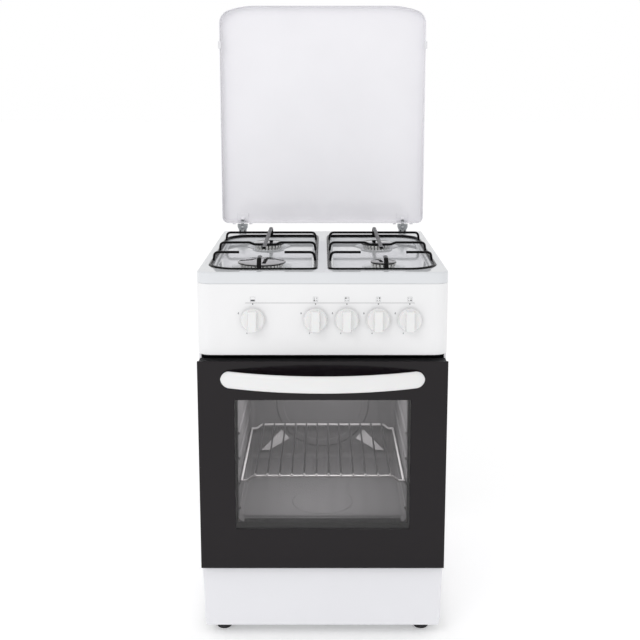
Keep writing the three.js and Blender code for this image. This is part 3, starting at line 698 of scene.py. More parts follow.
class COOKER_OT_hob(bpy.types.Operator):
    """Make the hob's top: rounded rim, two wells and a dish round each burner"""

    bl_idname = "cooker.hob"
    bl_label = "Hob top"

    LEDGE = ((0, 0), (1.2, -4.0), (8.4, -4.3), (13.4, -12), (15.5, -12))
    DISH = ((0, 0), (2.5, -0.5), (13.5, -6.4), (16.5, -7), (24, -7))

    @staticmethod
    def well(bm, support, rim):
        """One well, a little outside its pan support's ring, with dishes in its floor"""
        low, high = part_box(support)
        out = 1.5 * MM
        outer, inner = 60 * MM + out, 15 * MM + out
        corners = (outer, inner, inner, outer) if low.x < 0 else (inner, outer, outer, inner)
        room = Vector((out, out))
        return rounded_plate(bm, low.xy - room, high.xy + room, rim, corners, 12)

    def execute(self, context):
        low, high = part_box("hob_top")
        size = sizes()
        bm = bmesh.new()
        front, back = size.body_corner, 6 * MM
        brim = high.z - size.rim_round
        top = rounded_plate(bm, low, high, brim, (front, front, back, back), 12)
        step_in(bm, top, round_over(size.rim_round))
        step_in(bm, top, [(0.5 * MM, 0)])
        wells = [self.well(bm, f"pan_support_{side}", high.z) for side, _ in SIDES]
        cut_out(bm, top, wells)
        ledge = [Vector(point) * MM for point in self.LEDGE]
        for well in wells:
            step_in(bm, well, steps_along(soften(ledge, 2.5 * MM)))
            side = 1 if well.calc_center_median().x > 0 else -1
            dishes = []
            for name in BURNERS:
                burner = middle(f"burner_{name}")
                if burner.x * side < 0:
                    continue
                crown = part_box(f"burner_{name}")[1].x - burner.x - 2 * MM
                place = Vector((burner.x, burner.y, well.calc_center_median().z))
                dishes.append(disc(bm, place, crown + 22 * MM, 64))
            cut_out(bm, well, dishes)
            route = soften([Vector(point) * MM for point in self.DISH], 3 * MM)
            for dish in dishes:
                step_in(bm, dish, steps_along(route))
            bmesh.ops.delete(bm, geom=dishes, context="FACES_ONLY")
        lip = [
            edge
            for edge in bm.edges
            if edge.is_boundary and all(abs(vert.co.z - brim) < 0.01 * MM for vert in edge.verts)
        ]
        made = bmesh.ops.extrude_edge_only(bm, edges=lip)["geom"]
        verts = of_kind(made, bmesh.types.BMVert)
        bmesh.ops.translate(bm, verts=verts, vec=(0, 0, low.z - brim))
        finish = vitreous_enamel("hob_vitreous_enamel", colours().hob, 0.07)
        add_piece(bm, "hob", "cabinet", [finish], ["hob_top"], wall=size.sheet)
        return {"FINISHED"}


class COOKER_OT_supports(bpy.types.Operator):
    """Make the two wire pan supports"""

    bl_idname = "cooker.supports"
    bl_label = "Pan supports"

    def execute(self, context):
        finish = wire_enamel("black_wire_enamel")
        for side, sign in SIDES:
            bm = bmesh.new()
            self.support(bm, side, sign)
            add_piece(
                bm,
                f"{side}_pan_support",
                f"support_{side}",
                [finish],
                [f"pan_support_{side}"],
                sharp=60,
            )
        return {"FINISHED"}

    def support(self, bm, side, sign):
        """Drawn as the left one, whose outer side is on the left, and mirrored for the right one"""
        low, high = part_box(f"pan_support_{side}")
        outer, inner = (low.x, high.x) if sign < 0 else (high.x, low.x)
        inward = -sign
        thick, thin, sides = 3.3 * MM, 2.7 * MM, sizes().wire_sides
        ring = low.z + thick
        top = high.z - thin - 1 * MM
        near, far = low.y + thick, high.y - thick
        edge, mid = outer + inward * thick, inner - inward * thick
        centre = (edge + mid) / 2
        loop = [(centre, near), (edge, near), (edge, far), (mid, far), (mid, near), (centre, near)]
        bends = (None, 57 * MM, 57 * MM, 12 * MM, 12 * MM, None)
        route = [Vector((*loop[0], ring))]
        for before, here, after, bend in zip(loop, loop[1:], loop[2:], bends[1:]):
            corner = soften([(*place, ring) for place in (before, here, after)], bend, 10)
            route += self.arc(before, here, after, bend, ring) or corner[1:-1]
        route.append(route[0].copy())
        wire(bm, route, thick, 16, closed=True)
        self.top_wires(bm, (edge, mid, near, far), (ring, top), inward, thin, sides)

    @staticmethod
    def arc(before, here, after, radius, height, steps=12):
        """A true quarter circle between two square sides"""
        here, before, after = Vector(here), Vector(before), Vector(after)
        back, on = (before - here).normalized(), (after - here).normalized()
        centre = here + (back + on) * radius
        turns = [pi / 2 * step / steps for step in range(steps + 1)]
        points = [centre - on * radius * cos(turn) - back * radius * sin(turn) for turn in turns]
        return [Vector((*point, height)) for point in points]

    def top_wires(self, bm, ring_box, heights, inward, thin, sides):
        edge, mid, near, far = ring_box
        ring, top = heights
        burner = middle("burner_front_left" if edge < 0 else "burner_front_right").x
        front_y = body_front()
        stub_y, middle_y, rear_y = front_y + 121 * MM, front_y + 250 * MM, front_y + 400 * MM
        lean, step = 7 * MM, 4 * MM

        def draw(corners, bend=9 * MM, wide=1.0):
            others = set(bm.verts)
            wire(bm, soften(corners, bend, 6), thin, sides)
            drawn = [vert for vert in bm.verts if vert not in others]
            space = Matrix.Translation((-corners[-1][0], 0, 0))
            bmesh.ops.scale(bm, vec=(wide, 1, 1), verts=drawn, space=space)

        for leg, way, reach in ((edge, inward, 0.055), (mid, -inward, 0.065)):
            foot = (leg + way * MM, stub_y + lean, ring)
            draw([foot, (leg + way * step, stub_y, top), (leg + way * reach, stub_y, top)])
        for y, dip in ((middle_y, 4.4 * MM), (rear_y, 0)):
            half, slope = 25 * MM, 8 * MM
            dipped = [
                (burner - inward * (half + slope), y, top),
                (burner - inward * half, y, top - dip),
                (burner + inward * half, y, top - dip),
                (burner + inward * (half + slope), y, top),
            ]
            draw(
                [
                    (edge + inward * MM, y + lean, ring),
                    (edge + inward * step, y, top),
                    *(dipped if dip else []),
                    (mid - inward * step, y, top),
                    (mid - inward * MM, y + lean, ring),
                ]
            )
        along, over = burner + inward * 2 * MM, top + MM
        back_end, front_end = front_y + 168 * MM, front_y + 68 * MM
        flat = 1.7  # the bars that run fore and aft are flat strips
        rear_bar = [(far + MM, ring), (far - step, over), (back_end, over)]
        front_bar = [(near - MM, ring), (near + 6 * MM, top), (front_end, top)]
        for x, bar in ((along, rear_bar), (burner, front_bar)):
            draw([(x, *point) for point in bar], wide=flat)
        sleeve = mm((0, -4), (5, -4), (5.2, -1), (4.4, 13), (0, 14))
        turned(bm, soften(sleeve, MM, 2), at(burner, near + 1.5 * MM, ring), 24)


class COOKER_OT_burners(bpy.types.Operator):
    """Make the four burner crowns with their flame ports, and their caps"""

    bl_idname = "cooker.burners"
    bl_label = "Burners"

    def execute(self, context):
        for name in BURNERS:
            self.crown(name)
            self.cap(name)
        return {"FINISHED"}

    def crown(self, name):
        low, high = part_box(f"burner_{name}")
        centre = (low + high) / 2
        radius = high.x - centre.x - 2 * MM
        boxes = [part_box(f"burner_{each}") for each in BURNERS]
        largest = max((box[1].x - box[0].x) / 2 for box in boxes)
        ports = round(sizes().flame_ports * radius / largest)
        seat = high.z
        floor = seat - 14 * MM
        bm = bmesh.new()
        profile = [
            (0.6 * radius, low.z),
            (radius - 3 * MM, low.z + 6 * MM),
            (radius - 3 * MM, floor - 3 * MM),
            (radius - 0.5 * MM, floor - 3 * MM),
            (radius, floor - 2 * MM),
            (radius, floor),
            (radius - 1.5 * MM, floor + 1.5 * MM),
            (radius + 0.4 * MM, seat - 5.5 * MM),
            (radius + 2 * MM, seat - 4.6 * MM),
            (radius + 2 * MM, seat - 0.4 * MM),
            (radius + 1.6 * MM, seat),
            (radius - 6 * MM, seat),
            (radius - 6 * MM, floor),
            (0.6 * radius, floor),
            (0.6 * radius, low.z),
        ]
        turned(bm, profile, at(centre.x, centre.y, 0), ports * 3)
        bm.normal_update()
        bmesh.ops.recalc_face_normals(bm, faces=bm.faces)
        band = []
        for face in bm.faces:
            place = face.calc_center_median() - Vector((centre.x, centre.y, 0))
            out, height = place.xy.length - radius, place.z
            upper = out > 1.2 * MM and seat - 4.6 * MM < height < seat - 0.4 * MM
            lower = out > -1.4 * MM and floor + 2 * MM < height < seat - 5.6 * MM
            turn = (place.xy.angle_signed(Vector((1, 0))) / (2 * pi)) % 1
            if (upper or lower) and round(turn * ports * 3 - 0.5) % 3 == 0:
                band.append(face)
        bmesh.ops.inset_individual(bm, faces=band, thickness=0.15 * MM, depth=-2.6 * MM)
        # Painted shade: the port faces take the second, dark finish, which stands in for the shadow
        # inside the slots.
        for face in band:
            face.material_index = 1
        finishes = [cast_aluminium("cast_aluminium"), port_shade_metal("port_painted_shade")]
        node = [f"burner_{name}"]
        add_piece(bm, f"{name}_crown", "cabinet", finishes, node, sharp=30)

    def cap(self, name):
        low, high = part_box(f"burner_cap_{name}")
        centre = (low + high) / 2
        radius = high.x - centre.x
        under, top = low.z + 3 * MM, high.z
        plug = radius - 16 * MM
        rim = [
            (0, low.z),
            (plug, low.z),
            (plug, under),
            (radius - 1.2 * MM, under),
            (radius, under + 1.2 * MM),
            (radius - 0.4 * MM, under + 2.6 * MM),
            (radius - 3 * MM, under + 3.7 * MM),
            (radius * 0.72, top - 0.75 * MM),
            (radius * 0.4, top - 0.2 * MM),
            (0, top),
        ]
        bm = bmesh.new()
        turned(bm, soften(rim, 0.9 * MM, 3), at(centre.x, centre.y, 0), 72)
        bm.normal_update()
        for face in bm.faces:
            if abs(face.normal.z) < 0.75 and face.calc_center_median().z > under - MM:
                face.material_index = 1
        finishes = [cap_enamel("black_cap_enamel"), wire_enamel("black_wire_enamel")]
        node = [f"burner_cap_{name}"]
        add_piece(bm, f"{name}_cap", f"cap_{name}", finishes, node)


class COOKER_OT_panel(bpy.types.Operator):
    """Make the control panel and the marks that are printed on it"""

    bl_idname = "cooker.panel"
    bl_label = "Control panel"

    def execute(self, context):
        low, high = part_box("control_panel")
        size = sizes()
        bm = bmesh.new()
        corner = size.body_corner
        face = rounded_plate(bm, low, high, low.z, (corner, corner, 0, 0), 14)
        drawn_out(bm, face, (0, 0, high.z - low.z))
        bmesh.ops.recalc_face_normals(bm, faces=bm.faces)
        bmesh.ops.delete(bm, geom=faces_towards(bm, (0, 1, 0)), context="FACES_ONLY")
        flats = set(faces_towards(bm, (0, 0, 1)) + faces_towards(bm, (0, 0, -1)))
        rims = [
            edge
            for edge in bm.edges
            if len(edge.link_faces) == 2 and len(flats.intersection(edge.link_faces)) == 1
        ]
        bevelled(bm, rims, 1.6 * MM, 4)
        front = max(faces_towards(bm, (0, -1, 0)), key=lambda face: face.calc_area())
        holes = []
        for name in TAPS:
            tap = middle(f"spindle_{name}")
            holes.append(disc(bm, Vector((tap.x, low.y, tap.z)), 6 * MM, 24, FORWARD))
        cut_out(bm, front, holes)
        bmesh.ops.delete(bm, geom=holes, context="FACES_ONLY")
        finish = baked_paint("white_stoved_paint", colours().panel)
        node = ["control_panel"]
        add_piece(bm, "panel", "cabinet", [finish], node, wall=size.sheet)
        self.marks(low)
        return {"FINISHED"}

    def marks(self, low):
        """The line, the pictograms of the burners, the pointers and the flames"""
        bm = bmesh.new()
        skin = (low.y - 0.06 * MM, low.y + 0.05 * MM)
        line_z = middle("knob_oven").z + 33.5 * MM
        self.bar(bm, skin, (-153 * MM, line_z - 0.3 * MM), (181.5 * MM, line_z + 0.3 * MM), 0)
        icon_z = line_z + 7.5 * MM
        for name in TAPS:
            x = middle(f"knob_{name}").x
            self.spot(bm, skin, (x, line_z - 2.2 * MM), 1.9 * MM, 3, 0)
            half, pen = 4.7 * MM, 0.2 * MM
            low_z, high_z = icon_z - half, icon_z + half
            for z in (low_z, high_z):
                self.bar(bm, skin, (x - half, z - pen), (x + half, z + pen), 1)
            for wall in (x - half, x + half):
                self.bar(bm, skin, (wall - pen, low_z), (wall + pen, high_z), 1)
            if name == "oven":
                foot, top = icon_z - 3.9 * MM, icon_z - 0.9 * MM
                self.bar(bm, skin, (x - 4 * MM, foot), (x + 4 * MM, top), 0)
            else:
                across = {"left": -2.2 * MM, "right": 2.2 * MM}
                up = {"rear": 2.2 * MM, "front": -2.2 * MM}
                for row in up:
                    for side in across:
                        radius, ink = (1.55, 0) if name == f"{row}_{side}" else (1.1, 1)
                        place = (x + across[side], icon_z + up[row])
                        self.spot(bm, skin, place, radius * MM, 20, ink)
            for degrees, large in ((67, 1.0), (157, 0.8)):
                turn, away = radians(degrees), 31 * MM
                z = middle(f"knob_{name}").z
                place = (x - away * sin(turn), z + away * cos(turn))
                self.flame(bm, skin, place, 1.5 * MM * large)
        inks = [screen_ink("dark_screen_ink", "#4A4A4C"), screen_ink("grey_screen_ink", "#A9AAAC")]
        add_piece(bm, "panel_marks", "cabinet", inks)

    @staticmethod
    def bar(bm, skin, low, high, ink):
        verts = block(bm, (low[0], skin[0], low[1]), (high[0], skin[1], high[1]))
        for face in {face for vert in verts for face in vert.link_faces}:
            face.material_index = ink

    @staticmethod
    def spot(bm, skin, place, radius, steps, ink):
        """A printed disc, or a pointer that looks down when it has three sides"""
        turn = FORWARD @ Matrix.Rotation(-pi / 2 if steps == 3 else 0, 4, "Z")
        face = disc(bm, Vector((place[0], skin[1], place[1])), radius, steps, turn)
        verts = drawn_out(bm, face, (0, skin[0] - skin[1], 0))
        for each in {each for vert in verts for each in vert.link_faces}:
            each.material_index = ink

    def flame(self, bm, skin, place, radius):
        """A drop with a drawn-out tip"""
        others = set(bm.verts)
        self.spot(bm, skin, place, radius, 16, 1)
        for vert in [vert for vert in bm.verts if vert not in others]:
            lift = max(0.0, (vert.co.z - place[1]) / radius)
            vert.co.z += 1.3 * radius * lift**2
            vert.co.x += (place[0] - vert.co.x) * 0.5 * lift


class COOKER_OT_knobs(bpy.types.Operator):
    """Make the five knobs: a skirt, a disc and a grip bar across it"""

    bl_idname = "cooker.knobs"
    bl_label = "Knobs"

    def execute(self, context):
        finish = moulded_abs("white_moulded_abs", colours().plastic)
        for name in TAPS:
            low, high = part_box(f"knob_{name}")
            centre = (low + high) / 2
            radius = high.x - centre.x
            deep = high.y - low.y
            bm = bmesh.new()
            profile = [
                (4.4 * MM, 0),
                (radius - 0.6 * MM, 0),
                (radius, 1.2 * MM),
                (radius - 0.4 * MM, 3.4 * MM),
                (radius - 2 * MM, 4.8 * MM),
                (radius - 2.4 * MM, 7.6 * MM),
                (radius - 4 * MM, 8.8 * MM),
                (0, 9 * MM),
            ]
            turned(bm, soften(profile, 0.8 * MM, 3), at(centre.x, high.y, centre.z) @ FORWARD, 72)
            self.grip(bm, centre, high.y, deep)
            node = [f"knob_{name}"]
            add_piece(bm, f"{name}_knob", f"pushed_{name}", [finish], node)
        return {"FINISHED"}

    @staticmethod
    def grip(bm, centre, back, deep):
        """The bar stands on the disc and narrows a little to its front"""
        wide, tall = 9.3 * MM, 21.2 * MM
        low = (centre.x - wide, back - deep, centre.z - tall)
        high = (centre.x + wide, back - 7.5 * MM, centre.z + tall)
        verts = block(bm, low, high)
        front = [vert for vert in verts if vert.co.y < back - deep + MM]
        bmesh.ops.scale(
            bm, vec=(0.86, 1, 0.97), verts=front, space=Matrix.Translation(-Vector(centre))
        )
        bevelled(bm, edges_of(verts), 1.5 * MM, 4)


class COOKER_OT_door(bpy.types.Operator):
    """Make the oven door: outer glass with its window, bowed handle and the metal behind"""

    bl_idname = "cooker.door"
    bl_label = "Oven door"

    WINDOW = (176.5 * MM, 249 * MM, 523 * MM)

    def execute(self, context):
        self.glass()
        self.handle()
        self.frame()
        return {"FINISHED"}

    def glass(self):
        low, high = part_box("door_outer_glass")
        bm = bmesh.new()
        block(bm, low, high, 1.0 * MM, 3)
        half, bottom, top = self.WINDOW
        for place, way in (
            ((-half, 0, 0), (1, 0, 0)),
            ((half, 0, 0), (1, 0, 0)),
            ((0, 0, bottom), (0, 0, 1)),
            ((0, 0, top), (0, 0, 1)),
        ):
            geom = [*bm.verts, *bm.edges, *bm.faces]
            bmesh.ops.bisect_plane(bm, geom=geom, dist=1e-6, plane_co=place, plane_no=way)
        for face in bm.faces:
            centre = face.calc_center_median()
            face.material_index = int(abs(centre.x) < half and bottom < centre.z < top)
        finishes = [
            printed_glass("black_printed_glass", colours().glass),
            sheet_glass("tinted_window_glass", "#E9E8E8", 1.4),
        ]
        add_piece(bm, "outer_glass", "oven_door", finishes, ["door_outer_glass"])

    def handle(self):
        """An oval section spun along the bow, drawn in to a half-round at each end"""
        low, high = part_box("door_handle")
        half = high.x - 17 * MM
        tall = (high.z - low.z) / 2
        thick = 6.5 * MM
        rise = 34 * MM
        bow = (half * half + rise * rise) / (2 * rise)
        centre = Vector((0, low.y + thick + bow, (low.z + high.z) / 2))
        swing = asin(half / bow)
        bm = bmesh.new()
        upright = Matrix.Rotation(pi / 2, 4, "Y")
        face = disc(bm, Vector((0, 0, 0)), 1.0, 32, upright)
        verts = list(face.verts)
        for vert in verts:
            vert.co.z = abs(vert.co.z) ** 0.62 * (1 if vert.co.z > 0 else -1)
            vert.co.y = abs(vert.co.y) ** 0.8 * (1 if vert.co.y > 0 else -1)
        bmesh.ops.scale(bm, vec=(1, thick, tall), verts=verts)
        bmesh.ops.translate(bm, verts=verts, vec=centre - Vector((0, bow, 0)))
        bmesh.ops.rotate(bm, verts=verts, cent=centre, matrix=Matrix.Rotation(-swing, 3, "Z"))
        spun = bmesh.ops.spin(
            bm, geom=[face], cent=centre, axis=(0, 0, 1), angle=2 * swing, steps=48
        )["geom_last"]
        last = of_kind(spun, bmesh.types.BMFace)[0]
        ends = [item for item in bm.faces if len(item.verts) > 4]
        first = min(ends, key=lambda item: item.calc_center_median().x)
        for face in (first, last):
            self.round_end(bm, face, tall)
        finish = moulded_abs("white_moulded_abs", colours().plastic)
        add_piece(bm, "handle", "oven_door", [finish], ["door_handle"], sharp=50)
        self.handle_feet(finish, low, high)

    @staticmethod
    def round_end(bm, face, tall):
        """Draws an end on in small steps while it shrinks, as a half circle seen from the front"""
        face.normal_update()
        out = face.normal.copy()
        if out.x * face.calc_center_median().x < 0:
            out.negate()
        steps = 12
        for step in range(1, steps + 1):
            before, now = pi / 2 * (step - 1) / steps, pi / 2 * min(step / steps, 0.985)
            made = bmesh.ops.extrude_face_region(bm, geom=[face])["geom"]
            verts = of_kind(made, bmesh.types.BMVert)
            face = of_kind(made, bmesh.types.BMFace)[0]
            centre = face.calc_center_median()
            shrink = (cos(now) / cos(before)) ** 0.85
            space = Matrix.Translation(-centre)
            bmesh.ops.scale(bm, vec=(1, 0.5 + 0.5 * shrink, shrink), verts=verts, space=space)
            bmesh.ops.translate(bm, verts=verts, vec=out * tall * (sin(now) - sin(before)))

    @staticmethod
    def handle_feet(finish, low, high):
        """The two feet that join the bow to the glass"""
        bm = bmesh.new()
        z = (low.z + high.z) / 2
        for _, sign in SIDES:
            x = sign * (high.x - 17 * MM)
            place = at(x, high.y, z) @ FORWARD
            foot = mm((0, 0), (12, 0), (10.5, 5), (10.5, 9), (0, 9))
            turned(bm, soften(foot, MM), place, 32)
        add_piece(bm, "handle_feet", "oven_door", [finish])

    def frame(self):
        """Finishes the pressed frame with its folded rim and the tunnel round the window, then
        makes its inner pane
        """
        dress("door_frame", speckled_enamel("door_frame_enamel", "#2C2C2E"))
        low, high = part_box("door_inner_glass")
        bm = bmesh.new()
        block(bm, low, high, 0.8 * MM, 2)
        clear = sheet_glass("clear_inner_glass", "#F5F4F4", 1.3)
        add_piece(bm, "inner_glass", "oven_door", [clear], ["door_inner_glass"])
        zinc = zinc_plate()
        for side, _ in SIDES:
            dress(f"door_hinge_{side}", zinc)
            dress(f"door_hinge_arm_{side}", zinc)


class COOKER_OT_oven(bpy.types.Operator):
    """Make the oven: its enamelled box with guides and embossed rear, its floor and its rack"""

    bl_idname = "cooker.oven"
    bl_label = "Oven"

    def execute(self, context):
        self.cavity()
        self.floor_plate()
        self.rack()
        dress("oven_front", front_enamel())
        dress("oven_door_seal", braided_fibre("braided_glass_fibre"))
        dress("oven_burner", plated_steel("aluminised_tube", "#A9ABAD", 0.4))
        dress("insulation_blanket", mineral_wool("glass_wool"))
        return {"FINISHED"}

    def cavity(self):
        low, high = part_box("oven_cavity")
        inner_low = low + Vector((1.2 * MM, 0, 1.2 * MM))
        inner_high = high - Vector((1.2 * MM, 1.2 * MM, 1.2 * MM))
        bm = bmesh.new()
        verts = block(bm, inner_low, inner_high)
        bmesh.ops.delete(bm, geom=faces_towards(bm, (0, -1, 0)), context="FACES_ONLY")
        edges = [edge for edge in edges_of(verts) if len(edge.link_faces) == 2]
        bevelled(bm, edges, 14 * MM, 6)
        rear = max(faces_towards(bm, (0, 1, 0)), key=lambda face: face.calc_area())
        centre = Vector((0, inner_high.y, 384 * MM))
        round_rear = disc(bm, centre, 113 * MM, 96, FORWARD)
        rear.normal_flip()
        facets = [self.facet(bm, inner_high.y, sign) for _, sign in SIDES]
        cut_out(bm, rear, [round_rear, *facets])
        for facet in facets:
            bmesh.ops.inset_region(bm, faces=[facet], thickness=MM, depth=0, use_boundary=True)
            for vert in sorted(facet.verts, key=lambda each: each.co.z)[:2]:
                vert.co.y -= 6 * MM
            # Painted light: the facets take a pale enamel that stands in for the bright patches of
            # light on the rear wall.
            facet.material_index = 1
        route = mm((0, 0), (2.5, 3), (17, 3), (19, 1.2), (24, 1.2))
        step_in(bm, round_rear, steps_along(soften(route, 1.2 * MM)))
        guide_low, guide_high = 64 * MM, 386 * MM
        front = body_front()
        rack_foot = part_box("oven_rack")[0].z
        finish = speckled_enamel("oven_speckled_enamel", colours().oven)
        # The second finish is painted light: a near-white enamel on the facets, against the grey
        # oven enamel.
        finishes = [finish, vitreous_enamel("oven_facet_painted_light", "#E4E4E6", 0.3)]
        add_piece(bm, "oven_box", "cabinet", finishes, ["oven_cavity"], wall=-1 * MM)
        guides = bmesh.new()
        for _, sign in SIDES:
            wall = sign * inner_high.x
            for level in (-1, 0, 1, 2):
                z = rack_foot - 4.4 * MM + level * 55 * MM
                ends = [Vector((wall, front + reach, z)) for reach in (guide_low, guide_high)]
                wire(guides, ends, 3.6 * MM, 16)
        add_piece(guides, "rack_guides", "cabinet", [finish])
        self.mouth(front, inner_low, inner_high)

    @staticmethod
    def facet(bm, depth, sign):
        """The outline of one slanting facet beside the round embossing of the rear wall"""
        corners = mm((151, 262), (100, 315), (80, 291), (129, 263))
        verts = [bm.verts.new((sign * x, depth, z)) for x, z in corners]
        face = bm.faces.new(verts)
        face.normal_update()
        if face.normal.y > 0:
            face.normal_flip()
        return face

    @staticmethod
    def mouth(front, low, high):
        """The black lip just inside the mouth"""
        bm = bmesh.new()
        deep = (front + 35.8 * MM, front + 52 * MM)
        wall, short, edge = 0.8 * MM, 12 * MM, 0.3 * MM
        foot, roof = low.z + 0.2 * MM, high.z - 0.2 * MM
        for _, sign in SIDES:
            x = sorted((sign * (high.x - edge), sign * (high.x - edge - wall)))
            block(bm, (x[0], deep[0], low.z + short), (x[1], deep[1], high.z - short), edge)
        for z in ((foot, foot + wall), (roof - wall, roof)):
            block(bm, (low.x + short, deep[0], z[0]), (high.x - short, deep[1], z[1]), edge)
        add_piece(bm, "mouth_lip", "cabinet", [front_enamel()])

    def floor_plate(self):
        low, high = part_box("oven_floor_plate")
        bm = bmesh.new()
        top = low.z + 1.5 * MM
        plate = rounded_plate(bm, low, high, top - 0.6 * MM, (8 * MM,) * 4, 6)
        step_in(bm, plate, round_over(0.6 * MM, 3))
        centre = Vector((0, low.y + 74 * MM, top))
        raised = disc(bm, centre, 68 * MM, 72)
        cut_out(bm, plate, [raised])
        step_in(bm, raised, steps_along(soften(mm((0, 0), (3, 1.9), (12, 1.9)), 1.5 * MM)))
        finish = speckled_enamel("oven_speckled_enamel", colours().oven)
        node = ["oven_floor_plate"]
        add_piece(bm, "oven_floor", "cabinet", [finish], node, wall=0.8 * MM)

    def rack(self):
        low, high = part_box("oven_rack")
        thick, thin, sides = 2.6 * MM, 1.9 * MM, sizes().wire_sides
        bm = bmesh.new()
        rail = low.z + 3.1 * MM
        main = rail + 10 * MM
        half = high.x - thick
        front, rear = low.y + thick, high.y - thick
        for y in (front, rear):
            corners = [
                (-half, y, rail),
                (-half + 12 * MM, y, rail),
                (-half + 24 * MM, y, main),
                (half - 24 * MM, y, main),
                (half - 12 * MM, y, rail),
                (half, y, rail),
            ]
            wire(bm, soften(corners, 5 * MM, 5), thick, sides)
        for _, sign in SIDES:
            x = sign * (half - 0.4 * MM)
            wire(bm, [Vector((x, front, rail)), Vector((x, rear, rail))], thick * 0.95, sides)
        count, pitch = 12, 25.8 * MM
        for i in range(count):
            x = (i - (count - 1) / 2) * pitch
            height = main + thin * 1.2
            tip = (x, front - MM, height + 3 * MM)
            corners = [tip, (x, front + 3 * MM, height), (x, rear, height)]
            others = set(bm.faces)
            wire(bm, soften(corners, 2 * MM, 3), thin, sides)
            # Painted shade: behind their front tips the rods take the darker copy of the chrome,
            # for the shade they lie in.
            for face in bm.faces:
                if face not in others and face.calc_center_median().y > front + 3 * MM:
                    face.material_index = 1
        # Lit and shaded copies of one chrome: the bars' near-white is painted light, the rods'
        # darker grey is painted shade.
        rods = plated_steel("chromed_rods_painted_shade", "#C9C9CB", 0.3)
        finishes = [plated_wire("chromed_bars_painted_light", "#F8F8F9"), rods]
        add_piece(bm, "rack", "rack", finishes, ["oven_rack"], sharp=60)


